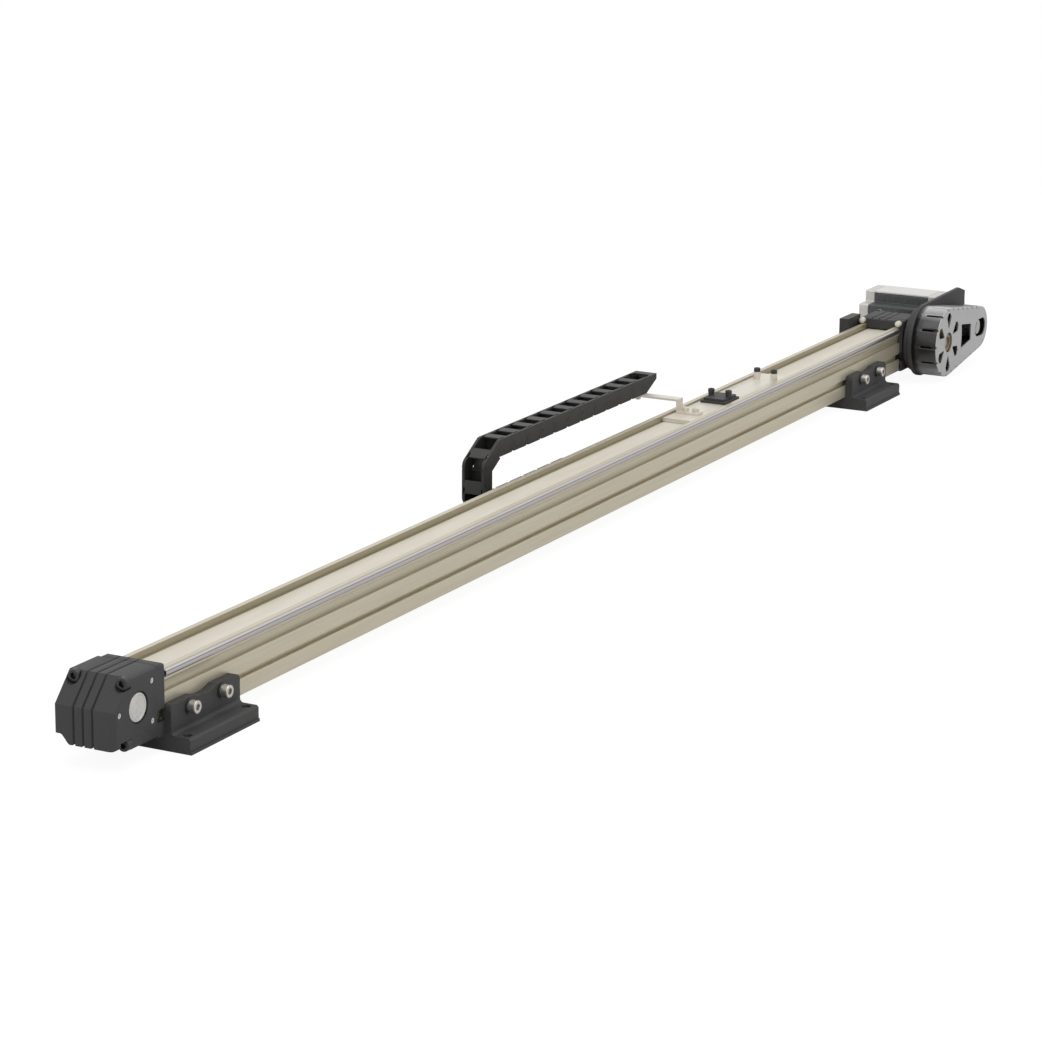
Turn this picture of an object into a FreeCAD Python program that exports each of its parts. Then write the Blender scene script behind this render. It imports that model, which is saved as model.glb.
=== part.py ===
import FreeCAD, Part
import math
import os

# Robot linear track: a belt-driven carriage on an extruded aluminium profile.
# Lengths are in millimetres. X runs along the track from the idler end to the drive end,
# Z is up from the floor, and Y = 0 is the middle of the profile.
# The origin is on the floor, at the centre of the anchor holes of the two feet.

Vec = FreeCAD.Vector
X, Y, Z = Vec(1, 0, 0), Vec(0, 1, 0), Vec(0, 0, 1)

# Track and feet
DRIVE_FOOT_INSET = 75.0
PROFILE_LENGTH = 1857.0
PROFILE_WIDTH = 57.2
PROFILE_HEIGHT = 63.4
FOOT_LENGTH = 120.0
FOOT_WIDTH = 120.0
FOOT_BASE = 16.0
FOOT_LIP = 1.2
FOOT_LIP_HEIGHT = 3.0
LUG_THICKNESS = 10.3
LUG_RISE = 29.3
LUG_DIP = 4.0
LUG_CORNER = 6.0
FOOT_FILLET = 4.0
FOOT_BEVEL = 2.0
ANCHOR_HOLE_D = 9.0
ANCHOR_INSET = 8.8
FOOT_SCREW_SPACING = 56.0

# Profile section, heights counted from its underside
SLOT_HEIGHT = 20.7
SLOT_WIDTH = 8.0
SLOT_LIP = 2.4
SLOT_CAVITY_WIDTH = 13.6
SLOT_DEPTH = 5.8
COVE_HEIGHT = 39.9
COVE_TOP = 52.4
COVE_DEPTH = 3.4
ROD_HEIGHT = 58.4
ROD_D = 8.0
ROD_INSET = 1.2
ROD_SHORT = 6.0
RIM_WIDTH = 7.0
RECESS_DEPTH = 8.2
RECESS_UNDERCUT = 0.8
ROD_LIP = 0.6
EDGE = 1.0
CHAMBER_GAP = 2.0
CHAMBER_WALL = 4.0
SEAT_CLEARANCE = 0.05

# Drive belt and its pulleys
BELT_PITCH = 8.0
PULLEY_TEETH = 12
BELT_WIDTH = 40.0
BELT_HALF_THICKNESS = 1.1
BELT_MARGIN = 0.5
AXIS_HEIGHT = 39.1
AXIS_OFFSET = 43.0
PULLEY_CLEARANCE = 0.3
TOOTH_DEPTH = 2.2
PULLEY_FLANGE = 0.9
HUB_WALL = 2.5
SHAFT_D = 15.0
BEARING_D = 28.0
BEARING_WIDTH = 7.0
RUNNING_CLEARANCE = 0.02

# End housings
BLOCK_LENGTH = 92.0
BLOCK_WIDTH = 64.0
BLOCK_ABOVE_PROFILE = 7.9
FLANGE_LENGTH = 12.6
CHAMFER_RUN = 35.5
CHAMFER_DROP = 23.8
TOE_RISE = 9.5
TOE_LENGTH = 24.0
TOE_SLOPE = 13.0
BLOCK_ROUND = 3.0
CAVITY_GAP = 2.6
HOUSING_WALL = 9.2
GROOVE_WIDTH = 1.4
GROOVE_DEPTH = 1.6
GROOVE_PITCH = 10.5
GROOVE_CENTRE_Y = 4.0
GROOVE_COUNT = 3
CORNER_SCREW_Y = 27.0
CORNER_SCREW_HIGH = 66.0
CORNER_SCREW_LOW = 7.0
CORNER_SCREW_SEAT = 55.0
POCKET_R = 7.3
LOW_POCKET_DEPTH = 18.5
NOTCH_RISE = 18.6
NOTCH_WIDTH = 7.0
NOTCH_SLOPE = 12.5
CAP_RECESS_R = 15.6
CAP_THICKNESS = 1.4
CAP_DEPTH = 2.2
SIDE_SCREW_RADIUS = 30.5
SIDE_SCREW_ANGLES = (40.0, 180.0, -40.0)
SIDE_SCREW_SINK = 3.0
BUMPER_D = 8.0
BUMPER_LENGTH = 10.0
BUMPER_Y = 27.0
BUMPER_GAP = 0.5

# Belt reducer
REDUCER_CENTRES = 125.8
PLATE_THICKNESS = 16.5
PLATE_WEB = 5.5
PLATE_R = 52.5
PLATE_MOTOR_R = 31.6
PLATE_CHAMFER_X = 22.8
PLATE_CHAMFER_Z = 7.3
PLATE_LIP = 4.0
COVER_DEPTH = 36.7
COVER_R = 48.4
COVER_MOTOR_R = 30.2
COVER_WALL = 3.0
COVER_ROUND = 1.5
COVER_FIT = 0.1
REDUCER_BELT_PITCH = 5.0
LARGE_TEETH = 48
SMALL_TEETH = 20
REDUCER_BELT_WIDTH = 18.0
REDUCER_BELT_HALF_THICKNESS = 0.9
REDUCER_TOOTH_DEPTH = 1.6
MOTOR_SHAFT_D = 14.0
VENT_WIDTH = 2.6
VENT_LENGTH = 24.0
VENT_ANGLE = 28.5
VENT_PITCH = 19.0
HUB_HOLE_D = 28.0
HUB_D = 24.0
WINDOW_COUNT = 6
WINDOW_RADIUS = 31.0
WINDOW_LONG = 18.0
WINDOW_WIDE = 13.0
GAP_START = 50.5
GAP_END = 86.5
GAP_TALL = 32.0
GAP_SHORT = 22.0
SLIT_LENGTH = 38.0
SLIT_WIDTH = 24.5

# Motor
MOTOR_WIDTH = 96.0
MOTOR_HEIGHT = 84.0
MOTOR_NOTCH_X = 24.0
MOTOR_NOTCH_Z = 16.0
MOTOR_FRONT = 30.0
MOTOR_STATOR = 82.0
MOTOR_REAR = 14.5
MOTOR_COVER = 2.5
MOTOR_SCREWS = ((-28.0, 20.0), (12.0, 15.0))

# Carriage
CARRIAGE_X = 494.5
SLIDER_FRONT = 105.5
SLIDER_BACK = 194.5
SLIDER_THICKNESS = 5.0
GLIDE_CLEARANCE = 0.3
PLATE_SCREW_X = 142.5
PLATE_SCREW_Y = 24.0
STANDOFF_HEIGHT = 9.5
STANDOFF_D = 9.0
CLAMP_LENGTH = 44.0
CLAMP_WIDTH = 34.0
CLAMP_HEIGHT = 6.0
CLAMP_STEP = 3.0
ARM_LENGTH = 14.0
ARM_REACH = 4.0
ARM_THICKNESS = 3.0
ARM_FOOT = 14.0

# Cable chain
LINK_PITCH = 35.0
LINK_HEIGHT = 20.5
LINK_WIDTH = 29.0
LINK_WALL = 1.7
LINK_GAP = 0.1
BAR_GAP = 0.3
LINK_BAR = 13.0
LINK_BAR_START = 17.0
LINK_BAR_THICKNESS = 2.2
LINK_PIN_D = 5.0
UPPER_LINKS = 11
BEND_LINKS = 3
LOWER_LINKS = 6
CHAIN_Y = 64.0
CHAIN_TOP = 115.4
MOVING_PIVOT_X = 339.0
MOVING_END = 31.0
MOVING_FLOOR = 9.0
MOVING_NOSE = 7.0
FIXED_END = 26.0

# Chain trough
TROUGH_START = -440.0
TROUGH_END = 205.0
TROUGH_SHEET = 1.5
TROUGH_WALL = 12.0
TROUGH_CLEARANCE = 0.3
BRACKET_X = (-380.0, -100.0, 150.0)
BRACKET_WIDTH = 24.0
BRACKET_THICKNESS = 3.0

# Box behind the drive end
BOX_LENGTH = 44.0
BOX_DEPTH = 14.0
BOX_TOP = 91.8
BOX_HEIGHT = 44.0

# Screw sizes: thread, head diameter, head height, key width
M3 = (3.0, 6.0, 2.4, 2.5)
M4 = (4.0, 7.0, 4.0, 3.0)
M5 = (5.0, 8.5, 5.0, 4.0)
M6 = (6.0, 10.0, 6.0, 5.0)
M8 = (8.0, 13.0, 8.0, 6.0)
WASHER_THICKNESS = 1.6
THREAD_CLEARANCE = 0.05
HOLE_CLEARANCE = 0.2

# Places that follow from the sizes above
FOOT_X = (PROFILE_LENGTH - DRIVE_FOOT_INSET - FOOT_LENGTH) / 2
START_X = -FOOT_X - FOOT_LENGTH / 2
END_X = START_X + PROFILE_LENGTH
MIDDLE_X = (START_X + END_X) / 2
BASE_Z = FOOT_BASE
TOP_Z = BASE_Z + PROFILE_HEIGHT
SIDE_Y = PROFILE_WIDTH / 2
SLOT_Z = BASE_Z + SLOT_HEIGHT
ROD_Z = BASE_Z + ROD_HEIGHT
ROD_Y = SIDE_Y - ROD_INSET
RECESS_HALF = SIDE_Y - RIM_WIDTH
RECESS_Z = TOP_Z - RECESS_DEPTH
AXIS_Z = BASE_Z + AXIS_HEIGHT
PITCH_R = BELT_PITCH * PULLEY_TEETH / (2 * math.pi)
BELT_OUTER_R = PITCH_R + BELT_HALF_THICKNESS
BELT_INNER_R = PITCH_R - BELT_HALF_THICKNESS
BELT_TOP_Z = AXIS_Z + BELT_OUTER_R
BELT_FLOOR_Z = AXIS_Z + BELT_INNER_R
IDLER_X = START_X - AXIS_OFFSET
DRIVE_X = END_X + AXIS_OFFSET
BLOCK_TOP_Z = TOP_Z + BLOCK_ABOVE_PROFILE
BLOCK_Y = BLOCK_WIDTH / 2
CAVITY_Y = BLOCK_Y - HOUSING_WALL
CAVITY_R = BELT_OUTER_R + CAVITY_GAP
MOTOR_X = DRIVE_X + REDUCER_CENTRES
PLATE_BACK_Y = -BLOCK_Y
PLATE_FRONT_Y = PLATE_BACK_Y - PLATE_THICKNESS
MOTOR_Y = PLATE_FRONT_Y + PLATE_WEB
COVER_FRONT_Y = PLATE_FRONT_Y - COVER_DEPTH
LARGE_R = REDUCER_BELT_PITCH * LARGE_TEETH / (2 * math.pi)
SMALL_R = REDUCER_BELT_PITCH * SMALL_TEETH / (2 * math.pi)
REDUCER_BELT_Y = (PLATE_FRONT_Y + COVER_FRONT_Y + COVER_WALL) / 2
SLIDER_Z = BELT_TOP_Z + GLIDE_CLEARANCE
SLIDER_TOP_Z = SLIDER_Z + SLIDER_THICKNESS
BEND_R = LINK_PITCH / (2 * math.sin(math.radians(180 / (2 * BEND_LINKS))))
CHAIN_Z = CHAIN_TOP - LINK_HEIGHT / 2
LOWER_CHAIN_Z = CHAIN_Z - 2 * BEND_R
BEND_X = MOVING_PIVOT_X - UPPER_LINKS * LINK_PITCH
FIXED_PIVOT_X = BEND_X + LOWER_LINKS * LINK_PITCH
CHAIN_FAR_Y = CHAIN_Y + LINK_WIDTH
CHAIN_MID_Y = CHAIN_Y + LINK_WIDTH / 2
CHAIN_UNDER_Z = CHAIN_Z - LINK_HEIGHT / 2
TROUGH_FLOOR_Z = LOWER_CHAIN_Z - LINK_HEIGHT / 2 - TROUGH_CLEARANCE


def box(x0, x1, y0, y1, z0, z1):
    return Part.makeBox(x1 - x0, y1 - y0, z1 - z0, Vec(x0, y0, z0))


def rod(axis, start, length, radius):
    return Part.makeCylinder(radius, length, start, axis)


def tube(axis, start, length, outer, inner):
    return rod(axis, start, length, outer).cut(rod(axis, start, length, inner))


def at_x(x):
    return lambda a, b: Vec(x, a, b)


def at_y(y):
    return lambda a, b: Vec(a, y, b)


def face(points, place):
    """A flat face through 2D points. A point (via, to) makes an arc to `to` through `via`."""
    edges = []
    here = points[0]
    for point in points[1:] + [points[0]]:
        if isinstance(point[0], tuple):
            via, to = point
            edges.append(Part.Arc(place(*here), place(*via), place(*to)).toShape())
        else:
            to = point
            if place(*to).distanceToPoint(place(*here)) > 1e-6:
                edges.append(Part.LineSegment(place(*here), place(*to)).toShape())
        here = to
    return Part.Face(Part.Wire(edges))


def prism_x(points, x0, x1):
    return face(points, at_x(x0)).extrude(X * (x1 - x0))


def prism_y(points, y0, y1):
    return face(points, at_y(y0)).extrude(Y * (y1 - y0))


def mirrored_y(shape):
    return shape.mirror(Vec(0, 0, 0), Y)


def to_drive_end(shape):
    """The same shape at the other end of the profile, facing the other way."""
    return shape.mirror(Vec(MIDDLE_X, 0, 0), X)


def both_sides(shape):
    return [shape, mirrored_y(shape)]


def cut(shape, tools):
    return shape.cut(tools) if tools else shape


def union(first, others):
    return first.fuse(others).removeSplitter()


def polar(radius, degrees):
    return radius * math.cos(math.radians(degrees)), radius * math.sin(math.radians(degrees))


def cap_screw(seat, axis, size, length):
    """A socket-head cap screw. Its head sits on `seat`, and its shank runs along `axis`."""
    thread, head_d, head_h, key = size
    head = rod(axis * -1, seat, head_h, head_d / 2)
    shank = rod(axis, seat, length, thread / 2)
    side = Vec(axis.y, axis.z, axis.x)
    corner_r = key / math.sqrt(3)
    rim = seat - axis * head_h
    corners = []
    for i in range(6):
        turn = FreeCAD.Rotation(axis, 60 * i)
        corners.append(rim + turn.multVec(side) * corner_r)
    hexagon = Part.Face(Part.makePolygon(corners + [corners[0]]))
    return union(head, [shank]).cut(hexagon.extrude(axis * (0.6 * head_h)))


def hull(centre_a, radius_a, centre_b, radius_b, z):
    """Outline of a belt run round two circles on the level z, the larger one first."""
    lean = math.acos((radius_a - radius_b) / (centre_b - centre_a))
    ca, sa = math.cos(lean), math.sin(lean)
    return [
        (centre_a + radius_a * ca, z + radius_a * sa),
        (centre_b + radius_b * ca, z + radius_b * sa),
        ((centre_b + radius_b, z), (centre_b + radius_b * ca, z - radius_b * sa)),
        (centre_a + radius_a * ca, z - radius_a * sa),
        ((centre_a - radius_a, z), (centre_a + radius_a * ca, z + radius_a * sa)),
    ]


def hull_same(x0, x1, r, z):
    """Outline of a slot with round ends."""
    return [(x0, z - r), (x1, z - r), ((x1 + r, z), (x1, z + r)), (x0, z + r), ((x0 - r, z), (x0, z - r))]


def toothed_disc(x, y0, y1, teeth, tip_r, root_r):
    """A toothed pulley body about an axis along Y, one tooth up, with sloping flanks."""
    step = 360.0 / teeth
    points = []
    for i in range(teeth):
        middle = 90 + i * step
        for radius, share in ((root_r, -0.34), (tip_r, -0.22), (tip_r, 0.22), (root_r, 0.34)):
            dx, dz = polar(radius, middle + share * step)
            points.append((x + dx, AXIS_Z + dz))
    return prism_y(points, y0, y1)


# Track


def profile_half():
    lip_y = SIDE_Y - SLOT_LIP
    deep_y = SIDE_Y - SLOT_DEPTH
    half_slot = SLOT_WIDTH / 2
    half_cavity = SLOT_CAVITY_WIDTH / 2
    cove_z = BASE_Z + COVE_HEIGHT
    ridge_z = BASE_Z + COVE_TOP
    cove_mid = (SIDE_Y - 0.72 * COVE_DEPTH, (2 * cove_z + 3 * ridge_z) / 5)
    rod_lip_y = ROD_Y + ROD_LIP
    margin_y = BELT_WIDTH / 2 + BELT_MARGIN
    return [
        (0.0, BASE_Z),
        (SIDE_Y - EDGE, BASE_Z),
        (SIDE_Y, BASE_Z + EDGE),
        (SIDE_Y, SLOT_Z - half_slot),
        (lip_y, SLOT_Z - half_slot),
        (lip_y, SLOT_Z - half_cavity),
        (deep_y, SLOT_Z - half_cavity),
        (deep_y, SLOT_Z + half_cavity),
        (lip_y, SLOT_Z + half_cavity),
        (lip_y, SLOT_Z + half_slot),
        (SIDE_Y, SLOT_Z + half_slot),
        (SIDE_Y, cove_z),
        (SIDE_Y - COVE_DEPTH, cove_z),
        (cove_mid, (SIDE_Y, ridge_z)),
        (SIDE_Y, ridge_z + EDGE),
        (rod_lip_y, ridge_z + 2 * EDGE),
        (rod_lip_y, TOP_Z),
        (RECESS_HALF, TOP_Z),
        (RECESS_HALF + RECESS_UNDERCUT, RECESS_Z),
        (margin_y, RECESS_Z),
        (margin_y, BELT_FLOOR_Z),
        (0.0, BELT_FLOOR_Z),
    ]


def profile_chambers():
    """Hollows along the whole profile: for the returning belt, above it and below it."""
    half = BELT_WIDTH / 2 + BELT_MARGIN
    return_low = AXIS_Z - BELT_OUTER_R - CHAMBER_GAP
    return_high = AXIS_Z - BELT_INNER_R + CHAMBER_GAP
    low = box(START_X, END_X, -half, half, BASE_Z + CHAMBER_WALL, return_low - CHAMBER_WALL)
    back = box(START_X, END_X, -half, half, return_low, return_high)
    wide = half - CHAMBER_WALL
    high = box(START_X, END_X, -wide, wide, return_high + CHAMBER_WALL, BELT_FLOOR_Z - CHAMBER_WALL)
    return [low, back, high]


def track_profile():
    half = prism_x(profile_half(), START_X, END_X)
    body = union(half, [mirrored_y(half)])
    seat = rod(X, Vec(START_X, ROD_Y, ROD_Z), PROFILE_LENGTH, ROD_D / 2 + SEAT_CLEARANCE)
    return cut(body, both_sides(seat) + profile_chambers())


def guide_rods():
    start = START_X + ROD_SHORT
    length = PROFILE_LENGTH - 2 * ROD_SHORT
    first = rod(X, Vec(start, -ROD_Y, ROD_Z), length, ROD_D / 2)
    return both_sides(first)


def toothed_belt():
    def outline(radius):
        return [
            (IDLER_X, AXIS_Z - radius),
            ((IDLER_X - radius, AXIS_Z), (IDLER_X, AXIS_Z + radius)),
            (DRIVE_X, AXIS_Z + radius),
            ((DRIVE_X + radius, AXIS_Z), (DRIVE_X, AXIS_Z - radius)),
        ]

    half = BELT_WIDTH / 2
    outer = prism_y(outline(BELT_OUTER_R), -half, half)
    return outer.cut(prism_y(outline(BELT_INNER_R), -half, half))


# Feet


def foot(x):
    x0, x1 = x - FOOT_LENGTH / 2, x + FOOT_LENGTH / 2
    half = FOOT_WIDTH / 2
    outer = SIDE_Y + LUG_THICKNESS
    top = FOOT_BASE + LUG_RISE
    bend = FOOT_FILLET * (1 - math.sqrt(0.5))

    section = [
        (0.0, 0.0),
        (half + FOOT_LIP, 0.0),
        (half + FOOT_LIP, FOOT_LIP_HEIGHT),
        (half, FOOT_LIP_HEIGHT),
        (half, FOOT_BASE - FOOT_BEVEL),
        (half - FOOT_BEVEL, FOOT_BASE),
        (outer + FOOT_FILLET, FOOT_BASE),
        ((outer + bend, FOOT_BASE + bend), (outer, FOOT_BASE + FOOT_FILLET)),
        (outer, top),
        (SIDE_Y, top),
        (SIDE_Y, FOOT_BASE),
        (0.0, FOOT_BASE),
    ]
    side = prism_x(section, x0, x1)
    body = union(side, [mirrored_y(side)])

    lobe = FOOT_SCREW_SPACING / 2 - 8.0
    round_cut = LUG_CORNER * (1 - math.sqrt(0.5))
    outline = [
        (x0, 0.0),
        (x1, 0.0),
        (x1, top - LUG_CORNER),
        ((x1 - round_cut, top - round_cut), (x1 - LUG_CORNER, top)),
        (x + lobe, top),
        ((x, top - LUG_DIP), (x - lobe, top)),
        (x0 + LUG_CORNER, top),
        ((x0 + round_cut, top - round_cut), (x0, top - LUG_CORNER)),
    ]
    reach = half + FOOT_LIP
    body = body.common(prism_y(outline, -reach, reach))
    tools = []
    for dx in (-1, 1):
        for dy in (-1, 1):
            hole_x = x + dx * (FOOT_LENGTH / 2 - ANCHOR_INSET)
            hole_y = dy * (half - ANCHOR_INSET)
            tools.append(rod(Z, Vec(hole_x, hole_y, 0), FOOT_BASE, ANCHOR_HOLE_D / 2))
        screw_x = x + dx * FOOT_SCREW_SPACING / 2
        tools.append(rod(Y, Vec(screw_x, -reach, SLOT_Z), 2 * reach, M8[0] / 2 + 0.3))
    return cut(body, tools)


def foot_screw_places():
    places = []
    for foot_x in (-FOOT_X, FOOT_X):
        for dx in (-1, 1):
            places.append(foot_x + dx * FOOT_SCREW_SPACING / 2)
    return places


def foot_screws():
    seat_y = SIDE_Y + LUG_THICKNESS + WASHER_THICKNESS
    length = seat_y - (SIDE_Y - SLOT_DEPTH) - 0.4
    found = []
    for x in foot_screw_places():
        found += both_sides(cap_screw(Vec(x, -seat_y, SLOT_Z), Y, M8, length))
    return found


def foot_washers():
    start_y = SIDE_Y + LUG_THICKNESS
    found = []
    for x in foot_screw_places():
        place = Vec(x, start_y, SLOT_Z)
        found += both_sides(tube(Y, place, WASHER_THICKNESS, M8[1] / 2 + 1.5, M8[0] / 2 + 0.2))
    return found


def slot_nut(x, size, side):
    """A flat nut that lies behind the lips of a side slot."""
    thick = SLOT_DEPTH - SLOT_LIP - 0.3
    outer_y = SIDE_Y - SLOT_LIP
    half = SLOT_CAVITY_WIDTH / 2 - 0.3
    nut = box(x - 10, x + 10, outer_y - thick, outer_y, SLOT_Z - half, SLOT_Z + half)
    hole = rod(Y, Vec(x, 0, SLOT_Z), SIDE_Y, size[0] / 2 + THREAD_CLEARANCE)
    nut = nut.cut(hole)
    return nut if side > 0 else mirrored_y(nut)


def foot_slot_nuts():
    found = []
    for x in foot_screw_places():
        for side in (-1, 1):
            found.append(slot_nut(x, M8, side))
    return found


# End housings, built at the idler end


def corner_screw_spots():
    high, low = BASE_Z + CORNER_SCREW_HIGH, BASE_Z + CORNER_SCREW_LOW
    return [(s * CORNER_SCREW_Y, z) for s in (-1, 1) for z in (high, low)]


def end_flange():
    """The plate between the profile and the housing, with windows for the belt."""
    x0 = START_X - FLANGE_LENGTH
    body = box(x0, START_X, -BLOCK_Y, BLOCK_Y, BASE_Z, BLOCK_TOP_Z)
    body = round_edges(body, BLOCK_ROUND, lambda v: abs(abs(v.y) - BLOCK_Y) < 0.01 and v.z > TOP_Z)
    tools = []
    belt_y = BELT_WIDTH / 2 + BELT_MARGIN
    for level in (AXIS_Z - PITCH_R, AXIS_Z + PITCH_R):
        tools.append(box(x0, START_X, -belt_y, belt_y, level - 3.2, level + 3.2))
    half = SLOT_WIDTH / 2 + 2.3
    for side in (-1, 1):
        near, far = sorted((side * (SIDE_Y - SLOT_DEPTH), side * BLOCK_Y))
        tools.append(box(x0, START_X, near, far, SLOT_Z - half, SLOT_Z + half))
        tools.append(rod(X, Vec(x0, side * ROD_Y, ROD_Z), FLANGE_LENGTH, 0.6))
    for y, z in corner_screw_spots():
        tools.append(rod(X, Vec(x0, y, z), FLANGE_LENGTH, M8[0] / 2 + THREAD_CLEARANCE))
    return cut(body, tools + top_grooves(x0, START_X))


def round_edges(shape, radius, chosen):
    """Rounds the edges whose two ends both satisfy `chosen`."""
    edges = []
    for edge in shape.Edges:
        if all(chosen(v.Point) for v in edge.Vertexes):
            edges.append(edge)
    return shape.makeFillet(radius, edges) if edges else shape


def top_grooves(x0, x1):
    found = []
    for i in range(GROOVE_COUNT):
        y = GROOVE_CENTRE_Y + (i - (GROOVE_COUNT - 1) / 2) * GROOVE_PITCH
        y0, y1 = y - GROOVE_WIDTH / 2, y + GROOVE_WIDTH / 2
        found.append(box(x0, x1, y0, y1, BLOCK_TOP_Z - GROOVE_DEPTH, BLOCK_TOP_Z))
    return found


def housing_outline(inset):
    """The housing seen from its side, with its outer edges moved in by `inset`."""
    inner_x = START_X - FLANGE_LENGTH
    outer_x = START_X - BLOCK_LENGTH + inset
    top = BLOCK_TOP_Z - inset
    slope = math.hypot(CHAMFER_RUN, CHAMFER_DROP)
    shift_x = inset * (slope - CHAMFER_DROP) / CHAMFER_RUN
    shift_z = inset * (slope - CHAMFER_RUN) / CHAMFER_DROP
    toe_x = START_X - BLOCK_LENGTH + TOE_LENGTH
    return [
        (inner_x, BASE_Z),
        (inner_x, top),
        (outer_x - inset + CHAMFER_RUN + shift_z, top),
        (outer_x, BLOCK_TOP_Z - CHAMFER_DROP - shift_x),
        (outer_x, BASE_Z + TOE_RISE),
        (toe_x, BASE_Z + TOE_RISE),
        (toe_x + TOE_SLOPE, BASE_Z),
    ]


def housing_body():
    body = prism_y(housing_outline(0.0), -BLOCK_Y, BLOCK_Y)
    inner_x = START_X - FLANGE_LENGTH

    def outside(v):
        return abs(abs(v.y) - BLOCK_Y) < 0.01 and v.z > BASE_Z + TOE_RISE - 0.01

    def chosen(v):
        return outside(v) and (v.x < inner_x - 0.01 or v.z > TOP_Z) and v.x < inner_x + 0.01

    edges = []
    for edge in body.Edges:
        ends = [v.Point for v in edge.Vertexes]
        low = all(abs(p.z - BASE_Z - TOE_RISE) < 0.01 for p in ends)
        if all(chosen(p) for p in ends) and not low:
            edges.append(edge)
    return body.makeFillet(BLOCK_ROUND, edges)


def back_notch():
    """The curved cut-out at the lower back corner of the outer face."""
    x0 = START_X - BLOCK_LENGTH
    z0, z1 = BASE_Z + TOE_RISE, BASE_Z + NOTCH_RISE
    y1 = BLOCK_Y - NOTCH_WIDTH
    y0 = y1 - NOTCH_SLOPE
    mid = ((y0 + y1) / 2, (z0 + z1) / 2)
    bulge = 0.12 * NOTCH_SLOPE
    points = [
        (BLOCK_Y, BASE_Z),
        (BLOCK_Y, z1),
        (y1, z1),
        ((y1 - 0.3 * NOTCH_SLOPE, (3 * z1 + mid[1]) / 4 - bulge / 3), mid),
        ((y0 + 0.3 * NOTCH_SLOPE, (3 * z0 + mid[1]) / 4 + bulge / 3), (y0, z0)),
        (y0, BASE_Z),
    ]
    return prism_x(points, x0, START_X - CORNER_SCREW_SEAT)


def housing_cavity():
    inner_x = START_X - FLANGE_LENGTH
    room = box(IDLER_X, inner_x, -CAVITY_Y, CAVITY_Y, AXIS_Z - CAVITY_R, AXIS_Z + CAVITY_R)
    end = rod(Y, Vec(IDLER_X, -CAVITY_Y, AXIS_Z), 2 * CAVITY_Y, CAVITY_R)
    return [room, end]


def bearing_seats():
    tools = [rod(Y, Vec(IDLER_X, -BLOCK_Y, AXIS_Z), BLOCK_WIDTH, BEARING_D / 2)]
    recess = rod(Y, Vec(IDLER_X, BLOCK_Y - CAP_DEPTH, AXIS_Z), CAP_DEPTH, CAP_RECESS_R)
    return tools + both_sides(recess)


def wrap_grooves():
    """The grooves on the chamfer and the outer face, as deep as the ones on top."""
    whole = face(housing_outline(-1.0), at_y(0))
    inner = face(housing_outline(GROOVE_DEPTH), at_y(0))
    ring = whole.cut(inner)
    found = []
    for i in range(GROOVE_COUNT):
        y = GROOVE_CENTRE_Y + (i - (GROOVE_COUNT - 1) / 2) * GROOVE_PITCH
        slab = ring.copy()
        slab.translate(Y * (y - GROOVE_WIDTH / 2))
        found.append(slab.extrude(Y * GROOVE_WIDTH))
    return found


def corner_pockets():
    seat_x = START_X - CORNER_SCREW_SEAT
    inner_x = START_X - FLANGE_LENGTH
    tools = []
    for y, z in corner_screw_spots():
        depth = BLOCK_LENGTH - CORNER_SCREW_SEAT if z > AXIS_Z else LOW_POCKET_DEPTH
        tools.append(rod(X * -1, Vec(seat_x, y, z), depth, POCKET_R))
        shank = CORNER_SCREW_SEAT - FLANGE_LENGTH
        tools.append(rod(X * -1, Vec(inner_x, y, z), shank, M8[0] / 2 + HOLE_CLEARANCE))
    return tools


def side_screw_spots():
    return [polar(SIDE_SCREW_RADIUS, angle) for angle in SIDE_SCREW_ANGLES]


def side_screw_holes():
    tools = []
    for dx, dz in side_screw_spots():
        start = Vec(IDLER_X + dx, BLOCK_Y, AXIS_Z + dz)
        tools += both_sides(rod(Y * -1, start, SIDE_SCREW_SINK, M3[1] / 2 + HOLE_CLEARANCE))
        tools += both_sides(rod(Y * -1, start, HOUSING_WALL - 0.5, M3[0] / 2 + THREAD_CLEARANCE))
    return tools


def idler_housing():
    tools = housing_cavity() + bearing_seats() + wrap_grooves()
    tools += corner_pockets() + side_screw_holes() + [back_notch()]
    return cut(housing_body(), tools)


def corner_screws():
    seat_x = START_X - CORNER_SCREW_SEAT
    length = CORNER_SCREW_SEAT - 1.0
    return [cap_screw(Vec(seat_x, y, z), X, M8, length) for y, z in corner_screw_spots()]


def side_screws():
    """The three small screws on the back face of a housing."""
    found = []
    length = HOUSING_WALL - SIDE_SCREW_SINK - 1.0
    for dx, dz in side_screw_spots():
        seat = Vec(IDLER_X + dx, BLOCK_Y - SIDE_SCREW_SINK, AXIS_Z + dz)
        found.append(cap_screw(seat, Y * -1, M3, length))
    return found


def bearing_cap(side):
    y = BLOCK_Y - CAP_DEPTH
    cap = rod(Y, Vec(IDLER_X, y, AXIS_Z), CAP_THICKNESS, BEARING_D / 2)
    groove = tube(Y, Vec(IDLER_X, y + CAP_THICKNESS - 0.4, AXIS_Z), 0.4, 11.6, 11.0)
    cap = cap.cut(groove)
    return cap if side > 0 else mirrored_y(cap)


def bearings():
    start = BLOCK_Y - CAP_DEPTH - BEARING_WIDTH
    place = Vec(IDLER_X, start, AXIS_Z)
    outer = BEARING_D / 2
    inner = SHAFT_D / 2 + RUNNING_CLEARANCE
    return both_sides(tube(Y, place, BEARING_WIDTH, outer, inner))


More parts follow.
